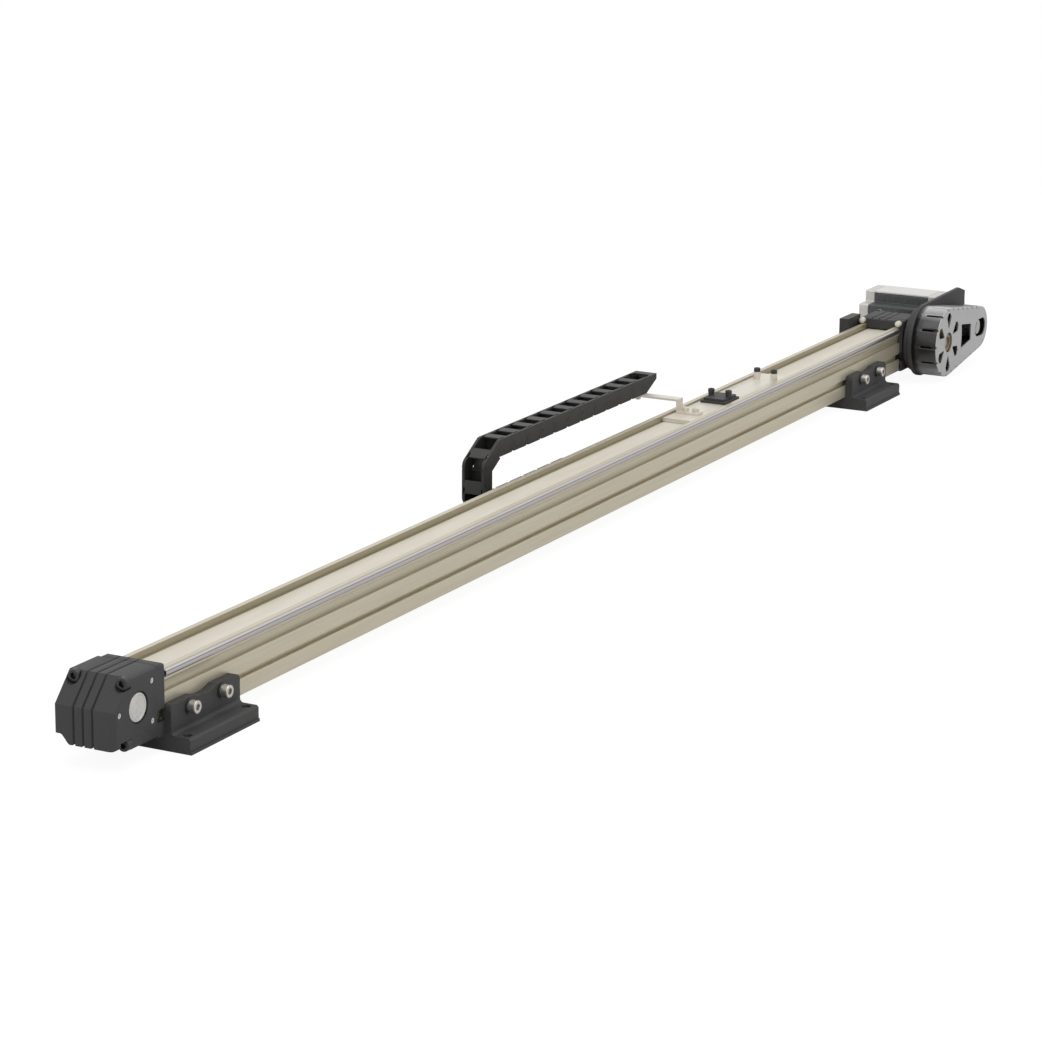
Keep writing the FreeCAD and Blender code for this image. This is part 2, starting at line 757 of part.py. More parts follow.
def belt_pulley():
    tip = BELT_INNER_R - PULLEY_CLEARANCE
    half = BELT_WIDTH / 2 + PULLEY_CLEARANCE
    teeth = toothed_disc(IDLER_X, -half, half, PULLEY_TEETH, tip, tip - TOOTH_DEPTH)
    reach = CAVITY_Y - GLIDE_CLEARANCE
    flanges = []
    for side in (-1, 1):
        start = Vec(IDLER_X, side * half, AXIS_Z)
        flanges.append(rod(Y * side, start, PULLEY_FLANGE, BELT_OUTER_R + 0.6))
        flanges.append(rod(Y * side, start, reach - half, SHAFT_D / 2 + HUB_WALL))
    body = union(teeth, flanges)
    return body.cut(rod(Y, Vec(IDLER_X, -reach, AXIS_Z), 2 * reach, SHAFT_D / 2))


def idler_axle():
    end = BLOCK_Y - CAP_DEPTH - 0.3
    return rod(Y, Vec(IDLER_X, -end, AXIS_Z), 2 * end, SHAFT_D / 2)


def bumpers():
    z = TOP_Z + BUMPER_GAP + BUMPER_D / 2
    radius = BUMPER_D / 2
    start = Vec(START_X, BUMPER_Y, z)
    stem = rod(X, start, BUMPER_LENGTH - radius, radius)
    dome = Part.makeSphere(radius, start + X * (BUMPER_LENGTH - radius))
    return both_sides(union(stem, [dome]))


# Drive shaft and belt reducer


def drive_shaft():
    back = BLOCK_Y - CAP_DEPTH - 0.3
    front = COVER_FRONT_Y + COVER_WALL + 1.0
    return rod(Y, Vec(DRIVE_X, front, AXIS_Z), back - front, SHAFT_D / 2)


def plate_outline():
    top = AXIS_Z + PLATE_R
    right = MOTOR_X + PLATE_MOTOR_R
    lean = math.acos((PLATE_R - PLATE_MOTOR_R) / REDUCER_CENTRES)
    ca, sa = math.cos(lean), math.sin(lean)
    low_motor = (MOTOR_X + PLATE_MOTOR_R * ca, AXIS_Z - PLATE_MOTOR_R * sa)
    low_drive = (DRIVE_X + PLATE_R * ca, AXIS_Z - PLATE_R * sa)
    mid = math.sqrt(0.5) * PLATE_MOTOR_R
    return [
        (DRIVE_X, top),
        (right - PLATE_CHAMFER_X, top),
        (right, top - PLATE_CHAMFER_Z),
        (right, AXIS_Z),
        ((MOTOR_X + mid, AXIS_Z - mid), low_motor),
        low_drive,
        ((DRIVE_X - PLATE_R, AXIS_Z), (DRIVE_X, top)),
    ]


def cover_hull(inset, y0, y1):
    outline = hull(DRIVE_X, COVER_R - inset, MOTOR_X, COVER_MOTOR_R - inset, AXIS_Z)
    return prism_y(outline, y0, y1)


def reducer_plate():
    """A web behind the cover, a thick boss on the drive housing and a lip inside the cover."""
    web = prism_y(plate_outline(), PLATE_FRONT_Y, MOTOR_Y)
    boss = rod(Y, Vec(DRIVE_X, MOTOR_Y, AXIS_Z), PLATE_BACK_Y - MOTOR_Y, PLATE_R)
    inset = COVER_WALL + COVER_FIT
    lip = cover_hull(inset, PLATE_FRONT_Y - PLATE_LIP, PLATE_FRONT_Y)
    lip = lip.cut(cover_hull(inset + 2.0, PLATE_FRONT_Y - PLATE_LIP, PLATE_FRONT_Y))
    body = union(web, [boss, lip])
    tools = [
        rod(Y, Vec(DRIVE_X, PLATE_FRONT_Y, AXIS_Z), PLATE_THICKNESS, SHAFT_D / 2 + 2.0),
        rod(Y, Vec(MOTOR_X, PLATE_FRONT_Y, AXIS_Z), PLATE_THICKNESS, MOTOR_SHAFT_D / 2 + 2.0),
    ]
    for x, z in plate_screw_spots():
        tools.append(rod(Y, Vec(x, PLATE_FRONT_Y, z), PLATE_THICKNESS, M3[0] / 2 + HOLE_CLEARANCE))
    for y, z in corner_screw_spots():
        tools.append(rod(X, Vec(END_X + CORNER_SCREW_SEAT, y, z), BLOCK_LENGTH, POCKET_R))
    for x, z in motor_screw_spots():
        tools.append(rod(Y, Vec(x, PLATE_FRONT_Y, z), PLATE_THICKNESS, M5[0] / 2 + HOLE_CLEARANCE))
    return cut(body, tools)


def plate_screw_spots():
    return [(DRIVE_X - dx, AXIS_Z + dz) for dx, dz in side_screw_spots()]


def motor_screw_spots():
    return [(MOTOR_X + x, AXIS_Z + side * z) for x, z in MOTOR_SCREWS for side in (-1, 1)]


def plate_screws_to_housing():
    length = PLATE_THICKNESS + HOUSING_WALL - 1.5
    return [cap_screw(Vec(x, PLATE_FRONT_Y, z), Y, M3, length) for x, z in plate_screw_spots()]


def motor_screws():
    length = PLATE_WEB + MOTOR_FRONT / 2 - 1.0
    return [cap_screw(Vec(x, PLATE_FRONT_Y, z), Y, M5, length) for x, z in motor_screw_spots()]


def face_windows():
    """The openings in the front of the cover."""
    depth = COVER_WALL
    y = COVER_FRONT_Y
    tools = [rod(Y, Vec(DRIVE_X, y, AXIS_Z), depth, HUB_HOLE_D / 2)]
    for i in range(WINDOW_COUNT):
        turn = 90 + i * 360.0 / WINDOW_COUNT
        points = []
        for along, across in ((9.0, 3.0), (9.0, -3.0), (4.0, -6.5), (-9.0, 0.0), (4.0, 6.5)):
            radius = WINDOW_RADIUS + along * WINDOW_LONG / 18.0
            dx, dz = polar(radius, turn)
            px, pz = polar(across * WINDOW_WIDE / 13.0, turn + 90)
            points.append((DRIVE_X + dx + px, AXIS_Z + dz + pz))
        tools.append(prism_y(points, y, y + depth))
    left, right = DRIVE_X + GAP_START, DRIVE_X + GAP_END
    window = [
        (left, AXIS_Z - GAP_TALL / 2),
        (right, AXIS_Z - GAP_SHORT / 2),
        (right, AXIS_Z + GAP_SHORT / 2),
        (left, AXIS_Z + GAP_TALL / 2),
        ((left + 2.4, AXIS_Z), (left, AXIS_Z - GAP_TALL / 2)),
    ]
    tools.append(prism_y(window, y, y + depth))
    r = SLIT_WIDTH / 2
    half = SLIT_LENGTH / 2 - r
    slit = hull_same(MOTOR_X - half, MOTOR_X + half, r, AXIS_Z)
    tools.append(prism_y(slit, y, y + depth))
    return tools


def vent_places():
    """Middle and direction of each vent slot round the side wall of the cover."""
    lean = math.degrees(math.acos((COVER_R - COVER_MOTOR_R) / REDUCER_CENTRES))
    places = []
    count = int((180 - lean) / VENT_ANGLE)
    for i in range(-count, count + 1):
        angle = 180 + i * VENT_ANGLE
        dx, dz = polar(COVER_R, angle)
        places.append((DRIVE_X + dx, AXIS_Z + dz, angle))
    straight = math.sqrt(REDUCER_CENTRES**2 - (COVER_R - COVER_MOTOR_R) ** 2)
    steps = int(straight / VENT_PITCH)
    for side in (-1, 1):
        angle = side * lean
        dx, dz = polar(COVER_R, angle)
        rx, rz = polar(1.0, angle - side * 90)
        for i in range(1, steps + 1):
            along = i * VENT_PITCH - VENT_PITCH / 2
            places.append((DRIVE_X + dx + rx * along, AXIS_Z + dz + rz * along, angle))
    return places


def reducer_cover():
    body = cover_hull(0.0, COVER_FRONT_Y, PLATE_FRONT_Y)
    rim = [e for e in body.Edges if all(abs(v.Point.y - COVER_FRONT_Y) < 0.01 for v in e.Vertexes)]
    body = body.makeFillet(COVER_ROUND, rim)
    body = body.cut(cover_hull(COVER_WALL, COVER_FRONT_Y + COVER_WALL, PLATE_FRONT_Y))
    tools = face_windows()
    for x, z, angle in vent_places():
        half = COVER_WALL
        slot = box(-half, half, 0, VENT_LENGTH, -VENT_WIDTH / 2, VENT_WIDTH / 2)
        slot.rotate(Vec(0, 0, 0), Y, -angle)
        slot.translate(Vec(x, COVER_FRONT_Y, z))
        tools.append(slot)
    return cut(body, tools)


def reducer_pulley(x, teeth, radius, bore, hub_r, hub_front):
    half = REDUCER_BELT_WIDTH / 2 + PULLEY_CLEARANCE
    tip = radius - REDUCER_BELT_HALF_THICKNESS - PULLEY_CLEARANCE
    y0, y1 = REDUCER_BELT_Y - half, REDUCER_BELT_Y + half
    body = toothed_disc(x, y0, y1, teeth, tip, tip - REDUCER_TOOTH_DEPTH)
    parts = [
        rod(Y, Vec(x, y0 - 1.2, AXIS_Z), 1.2, radius + 1.6),
        rod(Y, Vec(x, y1, AXIS_Z), 1.2, radius + 1.6),
        rod(Y, Vec(x, hub_front, AXIS_Z), y0 - hub_front, hub_r),
    ]
    body = union(body, parts)
    return body.cut(rod(Y, Vec(x, hub_front, AXIS_Z), y1 + 1.2 - hub_front, bore))


def large_pulley():
    front = COVER_FRONT_Y + COVER_WALL - 1.0
    body = reducer_pulley(DRIVE_X, LARGE_TEETH, LARGE_R, SHAFT_D / 2, HUB_D / 2, front)
    return body


def motor_pulley():
    front = COVER_FRONT_Y + COVER_WALL + 1.0
    return reducer_pulley(MOTOR_X, SMALL_TEETH, SMALL_R, MOTOR_SHAFT_D / 2, 10.0, front)


def reducer_belt():
    y0 = REDUCER_BELT_Y - REDUCER_BELT_WIDTH / 2
    y1 = y0 + REDUCER_BELT_WIDTH
    t = REDUCER_BELT_HALF_THICKNESS
    outer = prism_y(hull(DRIVE_X, LARGE_R + t, MOTOR_X, SMALL_R + t, AXIS_Z), y0, y1)
    return outer.cut(prism_y(hull(DRIVE_X, LARGE_R - t, MOTOR_X, SMALL_R - t, AXIS_Z), y0, y1))


# Motor


def motor_section(lowered=0.0):
    half_x, half_z = MOTOR_WIDTH / 2, MOTOR_HEIGHT / 2
    nx, nz = half_x - MOTOR_NOTCH_X, half_z - MOTOR_NOTCH_Z
    top = half_z - lowered
    corners = [(nx, top), (nx, nz), (half_x, nz), (half_x, -nz), (nx, -nz), (nx, -half_z)]
    other = [(-a, b) for a, b in reversed(corners)]
    return [(MOTOR_X + a, AXIS_Z + b) for a, b in corners + other]


def motor_front():
    body = prism_y(motor_section(), MOTOR_Y, MOTOR_Y + MOTOR_FRONT)
    bore_r = MOTOR_SHAFT_D / 2 + RUNNING_CLEARANCE
    tools = [rod(Y, Vec(MOTOR_X, MOTOR_Y, AXIS_Z), MOTOR_FRONT, bore_r)]
    for x, z in motor_screw_spots():
        tools.append(rod(Y, Vec(x, MOTOR_Y, z), MOTOR_FRONT / 2, M5[0] / 2 + THREAD_CLEARANCE))
    return cut(body, tools)


def motor_stator():
    y0 = MOTOR_Y + MOTOR_FRONT
    return prism_y(motor_section(MOTOR_COVER), y0, y0 + MOTOR_STATOR)


def motor_top_cover():
    y0 = MOTOR_Y + MOTOR_FRONT
    half = MOTOR_WIDTH / 2 - MOTOR_NOTCH_X
    z1 = AXIS_Z + MOTOR_HEIGHT / 2
    return box(MOTOR_X - half, MOTOR_X + half, y0, y0 + MOTOR_STATOR, z1 - MOTOR_COVER, z1)


def motor_rear():
    y0 = MOTOR_Y + MOTOR_FRONT + MOTOR_STATOR
    return prism_y(motor_section(), y0, y0 + MOTOR_REAR)


def motor_shaft():
    front = COVER_FRONT_Y + COVER_WALL + 0.5
    length = MOTOR_Y + MOTOR_FRONT - 0.5 - front
    return rod(Y, Vec(MOTOR_X, front, AXIS_Z), length, MOTOR_SHAFT_D / 2)


# Carriage


def recess_half_at(z):
    return RECESS_HALF + RECESS_UNDERCUT * (TOP_Z - z) / RECESS_DEPTH


def plate_screw_places():
    found = []
    for sx in (-1, 1):
        for sy in (-1, 1):
            found.append((CARRIAGE_X + sx * PLATE_SCREW_X / 2, sy * PLATE_SCREW_Y / 2))
    return found


def arm_screw_places():
    return [(arm_x(), side * ARM_FOOT / 2) for side in (-1, 1)]


def arm_x():
    return MOVING_PIVOT_X + ARM_REACH - ARM_LENGTH / 2


def slider():
    low = recess_half_at(SLIDER_Z) - GLIDE_CLEARANCE
    high = recess_half_at(SLIDER_TOP_Z) - GLIDE_CLEARANCE
    section = [(-low, SLIDER_Z), (low, SLIDER_Z), (high, SLIDER_TOP_Z), (-high, SLIDER_TOP_Z)]
    body = prism_x(section, CARRIAGE_X - SLIDER_BACK, CARRIAGE_X + SLIDER_FRONT)
    tools = []
    for x, y in plate_screw_places() + arm_screw_places():
        tools.append(rod(Z, Vec(x, y, SLIDER_Z), SLIDER_THICKNESS, M5[0] / 2 + THREAD_CLEARANCE))
    return cut(body, tools)


def belt_clamp():
    x = CARRIAGE_X - PLATE_SCREW_X / 2
    x0, x1 = x - CLAMP_LENGTH / 2, x + CLAMP_LENGTH / 2
    half = CLAMP_WIDTH / 2
    top = SLIDER_TOP_Z + CLAMP_HEIGHT
    step = top - CLAMP_STEP
    low = box(x0, x1, -half, half, SLIDER_TOP_Z, step)
    high = box(x0 + CLAMP_STEP, x1 - CLAMP_STEP, CLAMP_STEP - half, half - CLAMP_STEP, step, top)
    body = union(low, [high])
    tools = []
    for px, py in plate_screw_places()[:2]:
        start = Vec(px, py, SLIDER_TOP_Z)
        tools.append(rod(Z, start, CLAMP_HEIGHT, M5[0] / 2 + THREAD_CLEARANCE))
    return cut(body, tools)


def standoff(x, y, z0, radius):
    height = SLIDER_TOP_Z + STANDOFF_HEIGHT - z0
    return tube(Z, Vec(x, y, z0), height, radius, M5[0] / 2 + THREAD_CLEARANCE)


def clamp_spacers():
    z0 = SLIDER_TOP_Z + CLAMP_HEIGHT
    return [standoff(x, y, z0, STANDOFF_D / 2 - 0.8) for x, y in plate_screw_places()[:2]]


def plate_standoffs():
    return [standoff(x, y, SLIDER_TOP_Z, STANDOFF_D / 2) for x, y in plate_screw_places()[2:]]


def plate_screws():
    seat_z = SLIDER_TOP_Z + STANDOFF_HEIGHT
    length = seat_z - SLIDER_Z - 0.5
    return [cap_screw(Vec(x, y, seat_z), Z * -1, M5, length) for x, y in plate_screw_places()]


def chain_arm():
    """A bent plate from the slider, over the rim, to the underside of the moving end."""
    t = ARM_THICKNESS
    foot_z = SLIDER_TOP_Z
    top = CHAIN_UNDER_Z
    rise = ARM_FOOT
    section = [
        (-ARM_FOOT, foot_z),
        (rise + t, foot_z),
        (rise + t, top - t),
        (CHAIN_FAR_Y, top - t),
        (CHAIN_FAR_Y, top),
        (rise, top),
        (rise, foot_z + t),
        (-ARM_FOOT, foot_z + t),
    ]
    x = arm_x()
    body = prism_x(section, x - ARM_LENGTH / 2, x + ARM_LENGTH / 2)
    tools = []
    for px, py in arm_screw_places():
        tools.append(rod(Z, Vec(px, py, foot_z), t, M5[0] / 2 + THREAD_CLEARANCE))
    for px, py in chain_end_screw_places():
        tools.append(rod(Z, Vec(px, py, top - t), t, M4[0] / 2 + THREAD_CLEARANCE))
    return cut(body, tools)


def chain_end_screw_places():
    return [(MOVING_PIVOT_X - MOVING_FLOOR / 2, CHAIN_MID_Y + side * 6.0) for side in (-1, 1)]


def arm_screws():
    found = []
    seat_z = SLIDER_TOP_Z + ARM_THICKNESS
    for x, y in arm_screw_places():
        found.append(cap_screw(Vec(x, y, seat_z), Z * -1, M5, seat_z - SLIDER_Z - 0.5))
    under = CHAIN_UNDER_Z - ARM_THICKNESS
    for x, y in chain_end_screw_places():
        found.append(cap_screw(Vec(x, y, under), Z, M4, ARM_THICKNESS + LINK_BAR_THICKNESS))
    return found


# Cable chain. A link runs from pivot A at the origin to pivot B at -X, with +Z on the outer side.


def link_plate(layer_x0, layer_x1, round_a, round_b, y0, y1):
    """One layer of a side plate, with a round end where it goes about a pivot."""
    half = LINK_HEIGHT / 2
    points = [(layer_x1, half), (layer_x0, half)]
    if round_b:
        points.append(((layer_x0 - half, 0.0), (layer_x0, -half)))
    else:
        points.append((layer_x0, -half))
    points.append((layer_x1, -half))
    if round_a:
        points.append(((layer_x1 + half, 0.0), (layer_x1, half)))
    return prism_y(points, y0, y1)


def link_side():
    """The near side plate: an inner tongue about A and an outer cheek with a pin about B."""
    y0 = -LINK_WIDTH / 2
    split = y0 + LINK_WALL
    inner0 = split + LINK_GAP
    inner1 = inner0 + LINK_WALL
    half = LINK_HEIGHT / 2
    reach = LINK_PITCH - half - 1.0
    tongue = link_plate(-reach, 0.0, True, False, inner0, inner1)
    cheek = link_plate(-LINK_PITCH, -half - 1.0, False, True, y0, split)
    web = box(-reach, -half - 1.0, split, inner0, -half, half)
    pin = rod(Y, Vec(-LINK_PITCH, split, 0), LINK_WALL + LINK_GAP, LINK_PIN_D / 2)
    hole = rod(Y, Vec(0, inner0, 0), LINK_WALL, LINK_PIN_D / 2 + SEAT_CLEARANCE)
    return union(tongue.cut(hole), [web, cheek, pin])


def cross_bar(z0, z1):
    """A bar across the link, with a foot at each end that joins it to the side plates."""
    inner = LINK_WIDTH / 2 - 2 * LINK_WALL - LINK_GAP
    x1 = -LINK_BAR_START
    tongue_end = LINK_HEIGHT / 2 + 1.0 - LINK_PITCH
    bar = box(x1 - LINK_BAR, x1, BAR_GAP - inner, inner - BAR_GAP, z0, z1)
    foot = box(tongue_end, x1, -inner, inner, z0, z1)
    return bar.fuse(foot)


def chain_link():
    side = link_side()
    half = LINK_HEIGHT / 2
    t = LINK_BAR_THICKNESS
    return union(side, [mirrored_y(side), cross_bar(half - t, half), cross_bar(-half, t - half)])


def placed_link(link, x, z, angle):
    copy = link.copy()
    copy.rotate(Vec(0, 0, 0), Y, -angle)
    copy.translate(Vec(x, CHAIN_MID_Y, z))
    return copy


def chain_upper():
    link = chain_link()
    return [placed_link(link, MOVING_PIVOT_X - i * LINK_PITCH, CHAIN_Z, 0) for i in range(UPPER_LINKS)]


def chain_bend():
    link = chain_link()
    turn = 180.0 / BEND_LINKS
    x, z = BEND_X, CHAIN_Z
    found = []
    for i in range(BEND_LINKS):
        angle = turn / 2 + i * turn
        found.append(placed_link(link, x, z, angle))
        dx, dz = polar(LINK_PITCH, 180 + angle)
        x, z = x + dx, z + dz
    return found


def chain_lower():
    link = chain_link()
    return [placed_link(link, BEND_X + i * LINK_PITCH, LOWER_CHAIN_Z, 180) for i in range(LOWER_LINKS)]


def chain_moving_end():
    """The tapered end link: its cheeks and pins hold the first link, its floor sits on the arm."""
    half = LINK_HEIGHT / 2
    y0 = -LINK_WIDTH / 2
    split = y0 + LINK_WALL
    inner = split + LINK_GAP + LINK_WALL
    nose = half - MOVING_NOSE
    slope = [(MOVING_END, half), (0.0, half), ((-half, 0.0), (0.0, -half)), (3.0, -half), (MOVING_END, nose)]
    thick_x = half + 1.0
    cheek = prism_y(slope, y0, split)
    thick = prism_y(slope, split, inner).common(box(thick_x, MOVING_END, split, inner, -half, half))
    pin = rod(Y, Vec(0, split, 0), LINK_WALL + LINK_GAP, LINK_PIN_D / 2)
    side = union(cheek, [thick, pin])
    t = LINK_BAR_THICKNESS
    strip = [
        (-MOVING_FLOOR, -half),
        (3.0, -half),
        (MOVING_END, nose),
        (MOVING_END, nose + t),
        (3.0, t - half),
        (-MOVING_FLOOR, t - half),
    ]
    narrow = prism_y(strip, inner + BAR_GAP, -inner - BAR_GAP)
    wide = prism_y(strip, inner, -inner).common(box(thick_x, MOVING_END, inner, -inner, -half, half))
    roof = box(MOVING_END - LINK_BAR, MOVING_END, inner, -inner, half - t, half)
    body = union(side, [mirrored_y(side), narrow, wide, roof])
    body = placed_link(body, MOVING_PIVOT_X, CHAIN_Z, 0)
    tools = []
    for x, y in chain_end_screw_places():
        tools.append(rod(Z, Vec(x, y, CHAIN_UNDER_Z), t, M4[0] / 2 + THREAD_CLEARANCE))
    return cut(body, tools)


def chain_fixed_end():
    """The end link that stands on the floor of the trough."""
    half = LINK_HEIGHT / 2
    y0 = -LINK_WIDTH / 2 + LINK_WALL + LINK_GAP
    tongue = link_plate(-FIXED_END, 0.0, True, False, y0, y0 + LINK_WALL)
    side = tongue.cut(rod(Y, Vec(0, y0, 0), LINK_WALL, LINK_PIN_D / 2 + SEAT_CLEARANCE))
    inner = -y0
    bar_x = LINK_BAR - FIXED_END
    floor = box(-FIXED_END, bar_x, -inner, inner, half - LINK_BAR_THICKNESS, half + TROUGH_CLEARANCE)
    roof = box(-FIXED_END, bar_x, -inner, inner, -half, -half + LINK_BAR_THICKNESS)
    body = union(side, [mirrored_y(side), floor, roof])
    body = placed_link(body, FIXED_PIVOT_X, LOWER_CHAIN_Z, 180)
    tools = []
    for x, y in fixed_end_screw_places():
        tools.append(rod(Z, Vec(x, y, TROUGH_FLOOR_Z), LINK_HEIGHT / 2, M4[0] / 2 + THREAD_CLEARANCE))
    return cut(body, tools)


def fixed_end_screw_places():
    x = FIXED_PIVOT_X + FIXED_END - LINK_BAR / 2
    return [(x, CHAIN_MID_Y + side * 6.0) for side in (-1, 1)]


# Trough for the lower run


def chain_trough():
    y0, y1 = CHAIN_Y - 1.0 - TROUGH_SHEET, CHAIN_FAR_Y + 1.0 + TROUGH_SHEET
    low = TROUGH_FLOOR_Z - TROUGH_SHEET
    high = TROUGH_FLOOR_Z + TROUGH_WALL
    section = [
        (y0, low),
        (y1, low),
        (y1, high),
        (y1 - TROUGH_SHEET, high),
        (y1 - TROUGH_SHEET, TROUGH_FLOOR_Z),
        (y0 + TROUGH_SHEET, TROUGH_FLOOR_Z),
        (y0 + TROUGH_SHEET, high),
        (y0, high),
    ]
    body = prism_x(section, TROUGH_START, TROUGH_END)
    tools = []
    for x, y in fixed_end_screw_places():
        tools.append(rod(Z, Vec(x, y, low), TROUGH_SHEET, M4[0] / 2 + THREAD_CLEARANCE))
    return cut(body, tools)


def trough_brackets():
    t = BRACKET_THICKNESS
    top = SLOT_Z + 9.0
    shelf = TROUGH_FLOOR_Z - TROUGH_SHEET
    section = [
        (SIDE_Y, shelf - t),
        (CHAIN_FAR_Y, shelf - t),
        (CHAIN_FAR_Y, shelf),
        (SIDE_Y + t, shelf),
        (SIDE_Y + t, top),
        (SIDE_Y, top),
    ]
    found = []
    for x in BRACKET_X:
        body = prism_x(section, x - BRACKET_WIDTH / 2, x + BRACKET_WIDTH / 2)
        hole = rod(Y, Vec(x, SIDE_Y, SLOT_Z), t, M6[0] / 2 + THREAD_CLEARANCE)
        found.append(body.cut(hole))
    return found


def side_screw_at(x, plate):
    seat = Vec(x, SIDE_Y + plate, SLOT_Z)
    return cap_screw(seat, Y * -1, M6, plate + SLOT_DEPTH - 0.4)


def trough_screws():
    found = [side_screw_at(x, BRACKET_THICKNESS) for x in BRACKET_X]
    top = TROUGH_FLOOR_Z + TROUGH_CLEARANCE + LINK_BAR_THICKNESS
    length = top - TROUGH_FLOOR_Z + TROUGH_SHEET
    for x, y in fixed_end_screw_places():
        found.append(cap_screw(Vec(x, y, top), Z * -1, M4, length))
    return found


def trough_slot_nuts():
    return [slot_nut(x, M6, 1) for x in BRACKET_X]


# Box behind the drive end


def box_bracket():
    x1 = END_X - 4.0
    x0 = x1 - BOX_LENGTH + 8.0
    t = BRACKET_THICKNESS
    z1 = BASE_Z + COVE_HEIGHT - 1.0
    body = box(x0, x1, SIDE_Y, SIDE_Y + t, SLOT_Z - 7.0, z1)
    return body.cut(rod(Y, Vec(box_screw_x(), SIDE_Y, SLOT_Z), t, M6[0] / 2 + THREAD_CLEARANCE))


def box_screw_x():
    return END_X - BOX_LENGTH / 2


def sensor_box():
    y0 = SIDE_Y + BRACKET_THICKNESS
    body = box(END_X - BOX_LENGTH, END_X, y0, y0 + BOX_DEPTH, BOX_TOP - BOX_HEIGHT, BOX_TOP)
    return round_edges(body, 1.5, lambda v: v.y > y0 + 1)


def box_fastening():
    return [side_screw_at(box_screw_x(), BRACKET_THICKNESS), slot_nut(box_screw_x(), M6, 1)]


def as_list(shape):
    return shape if isinstance(shape, list) else [shape]


def drive_side(shapes):
    return [to_drive_end(shape) for shape in as_list(shapes)]


def save(name, shapes):
    shapes = as_list(shapes)
    solids = []
    for shape in shapes:
        solids += shape.Solids
    whole = solids[0] if len(solids) == 1 else Part.makeCompound(solids)
    bad = [s for s in solids if not s.isValid()]
    print(name, len(solids), "solids", round(sum(s.Volume for s in solids)), "mm3", "BAD" if bad else "")
    whole.exportStep("parts/" + name + ".step")


def main():
    os.makedirs("parts", exist_ok=True)
    save("track_profile", track_profile())
    save("guide_rods", guide_rods())
    save("toothed_belt", toothed_belt())
    save("foot_idler_end", foot(-FOOT_X))
    save("foot_drive_end", foot(FOOT_X))
    save("foot_screws", foot_screws())
    save("foot_washers", foot_washers())
    save("foot_slot_nuts", foot_slot_nuts())
    save("idler_flange", end_flange())
    save("idler_housing", idler_housing())
    save("idler_corner_screws", corner_screws())
    save("idler_side_screws", side_screws() + [mirrored_y(shape) for shape in side_screws()])
    save("idler_bearing_caps", [bearing_cap(-1), bearing_cap(1)])
    save("idler_bearings", bearings())
    save("idler_axle", idler_axle())
    save("idler_pulley", belt_pulley())
    save("idler_bumpers", bumpers())
    save("drive_flange", drive_side(end_flange()))
    save("drive_housing", drive_side(idler_housing()))
    save("drive_corner_screws", drive_side(corner_screws()))
    save("drive_side_screws", drive_side(side_screws()))
    save("drive_bearing_cap", drive_side(bearing_cap(1)))
    save("drive_bearings", drive_side(bearings()))
    save("drive_pulley", drive_side(belt_pulley()))
    save("drive_bumpers", drive_side(bumpers()))
    save("drive_shaft", drive_shaft())
    save("reducer_plate", reducer_plate())
    save("reducer_plate_screws", plate_screws_to_housing())
    save("motor_screws", motor_screws())
    save("reducer_cover", reducer_cover())
    save("large_reducer_pulley", large_pulley())
    save("reducer_belt", reducer_belt())
    save("motor_pulley", motor_pulley())
    save("motor_shaft", motor_shaft())
    save("motor_front_flange", motor_front())
    save("motor_stator", motor_stator())
    save("motor_top_cover", motor_top_cover())
    save("motor_rear_cap", motor_rear())
    save("slider", slider())
    save("belt_clamp", belt_clamp())
    save("clamp_spacers", clamp_spacers())
    save("plate_standoffs", plate_standoffs())
    save("plate_screws", plate_screws())
    save("chain_arm", chain_arm())
    save("chain_arm_screws", arm_screws())
    save("chain_moving_end", chain_moving_end())
    save("chain_upper_run", chain_upper())
    save("chain_bend", chain_bend())
    save("chain_lower_run", chain_lower())
    save("chain_fixed_end", chain_fixed_end())
    save("chain_trough", chain_trough())
    save("trough_brackets", trough_brackets())
    save("trough_screws", trough_screws())
    save("trough_slot_nuts", trough_slot_nuts())
    save("box_bracket", box_bracket())
    save("sensor_box", sensor_box())
    save("box_fastening", box_fastening())


main()
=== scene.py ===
# %% [markdown]
# A robot linear track, dressed for a picture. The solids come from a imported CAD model, and this
# lesson adds what they lack: rounded edges, real screw heads, moulded chain links and finishes.
# Everything is in metres, in the CAD model's own frame: X runs along the track, Z is up.

# %% Load the frame
import bmesh
import bpy
import math
import numpy as np
from mathutils import Matrix, Vector
from mathutils.geometry import tessellate_polygon


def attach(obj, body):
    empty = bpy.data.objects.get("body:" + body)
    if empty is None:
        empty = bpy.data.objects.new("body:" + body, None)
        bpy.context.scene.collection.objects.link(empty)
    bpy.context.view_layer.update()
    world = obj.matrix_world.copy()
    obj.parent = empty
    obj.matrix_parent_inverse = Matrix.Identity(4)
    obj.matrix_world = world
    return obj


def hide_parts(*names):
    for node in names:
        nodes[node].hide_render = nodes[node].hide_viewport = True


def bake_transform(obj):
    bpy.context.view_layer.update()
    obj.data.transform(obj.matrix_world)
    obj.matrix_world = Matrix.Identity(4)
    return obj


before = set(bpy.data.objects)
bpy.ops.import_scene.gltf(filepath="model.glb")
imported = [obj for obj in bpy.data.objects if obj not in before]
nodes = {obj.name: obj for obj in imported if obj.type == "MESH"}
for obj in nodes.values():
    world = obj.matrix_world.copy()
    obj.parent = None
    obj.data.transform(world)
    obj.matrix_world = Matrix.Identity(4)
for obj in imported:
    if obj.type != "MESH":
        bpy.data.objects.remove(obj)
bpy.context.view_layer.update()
MM = 0.001


def placed(name, data):
    """A new object at the origin, in the scene."""
    made = bpy.data.objects.new(name, data)
    bpy.context.scene.collection.objects.link(made)
    return made


# %% [markdown]
# The camera stands where the photographer stood: low behind the idler end, 4 m from the middle,
# with a long lens. A camera looks along its own -Z, so the third row is the view turned round.

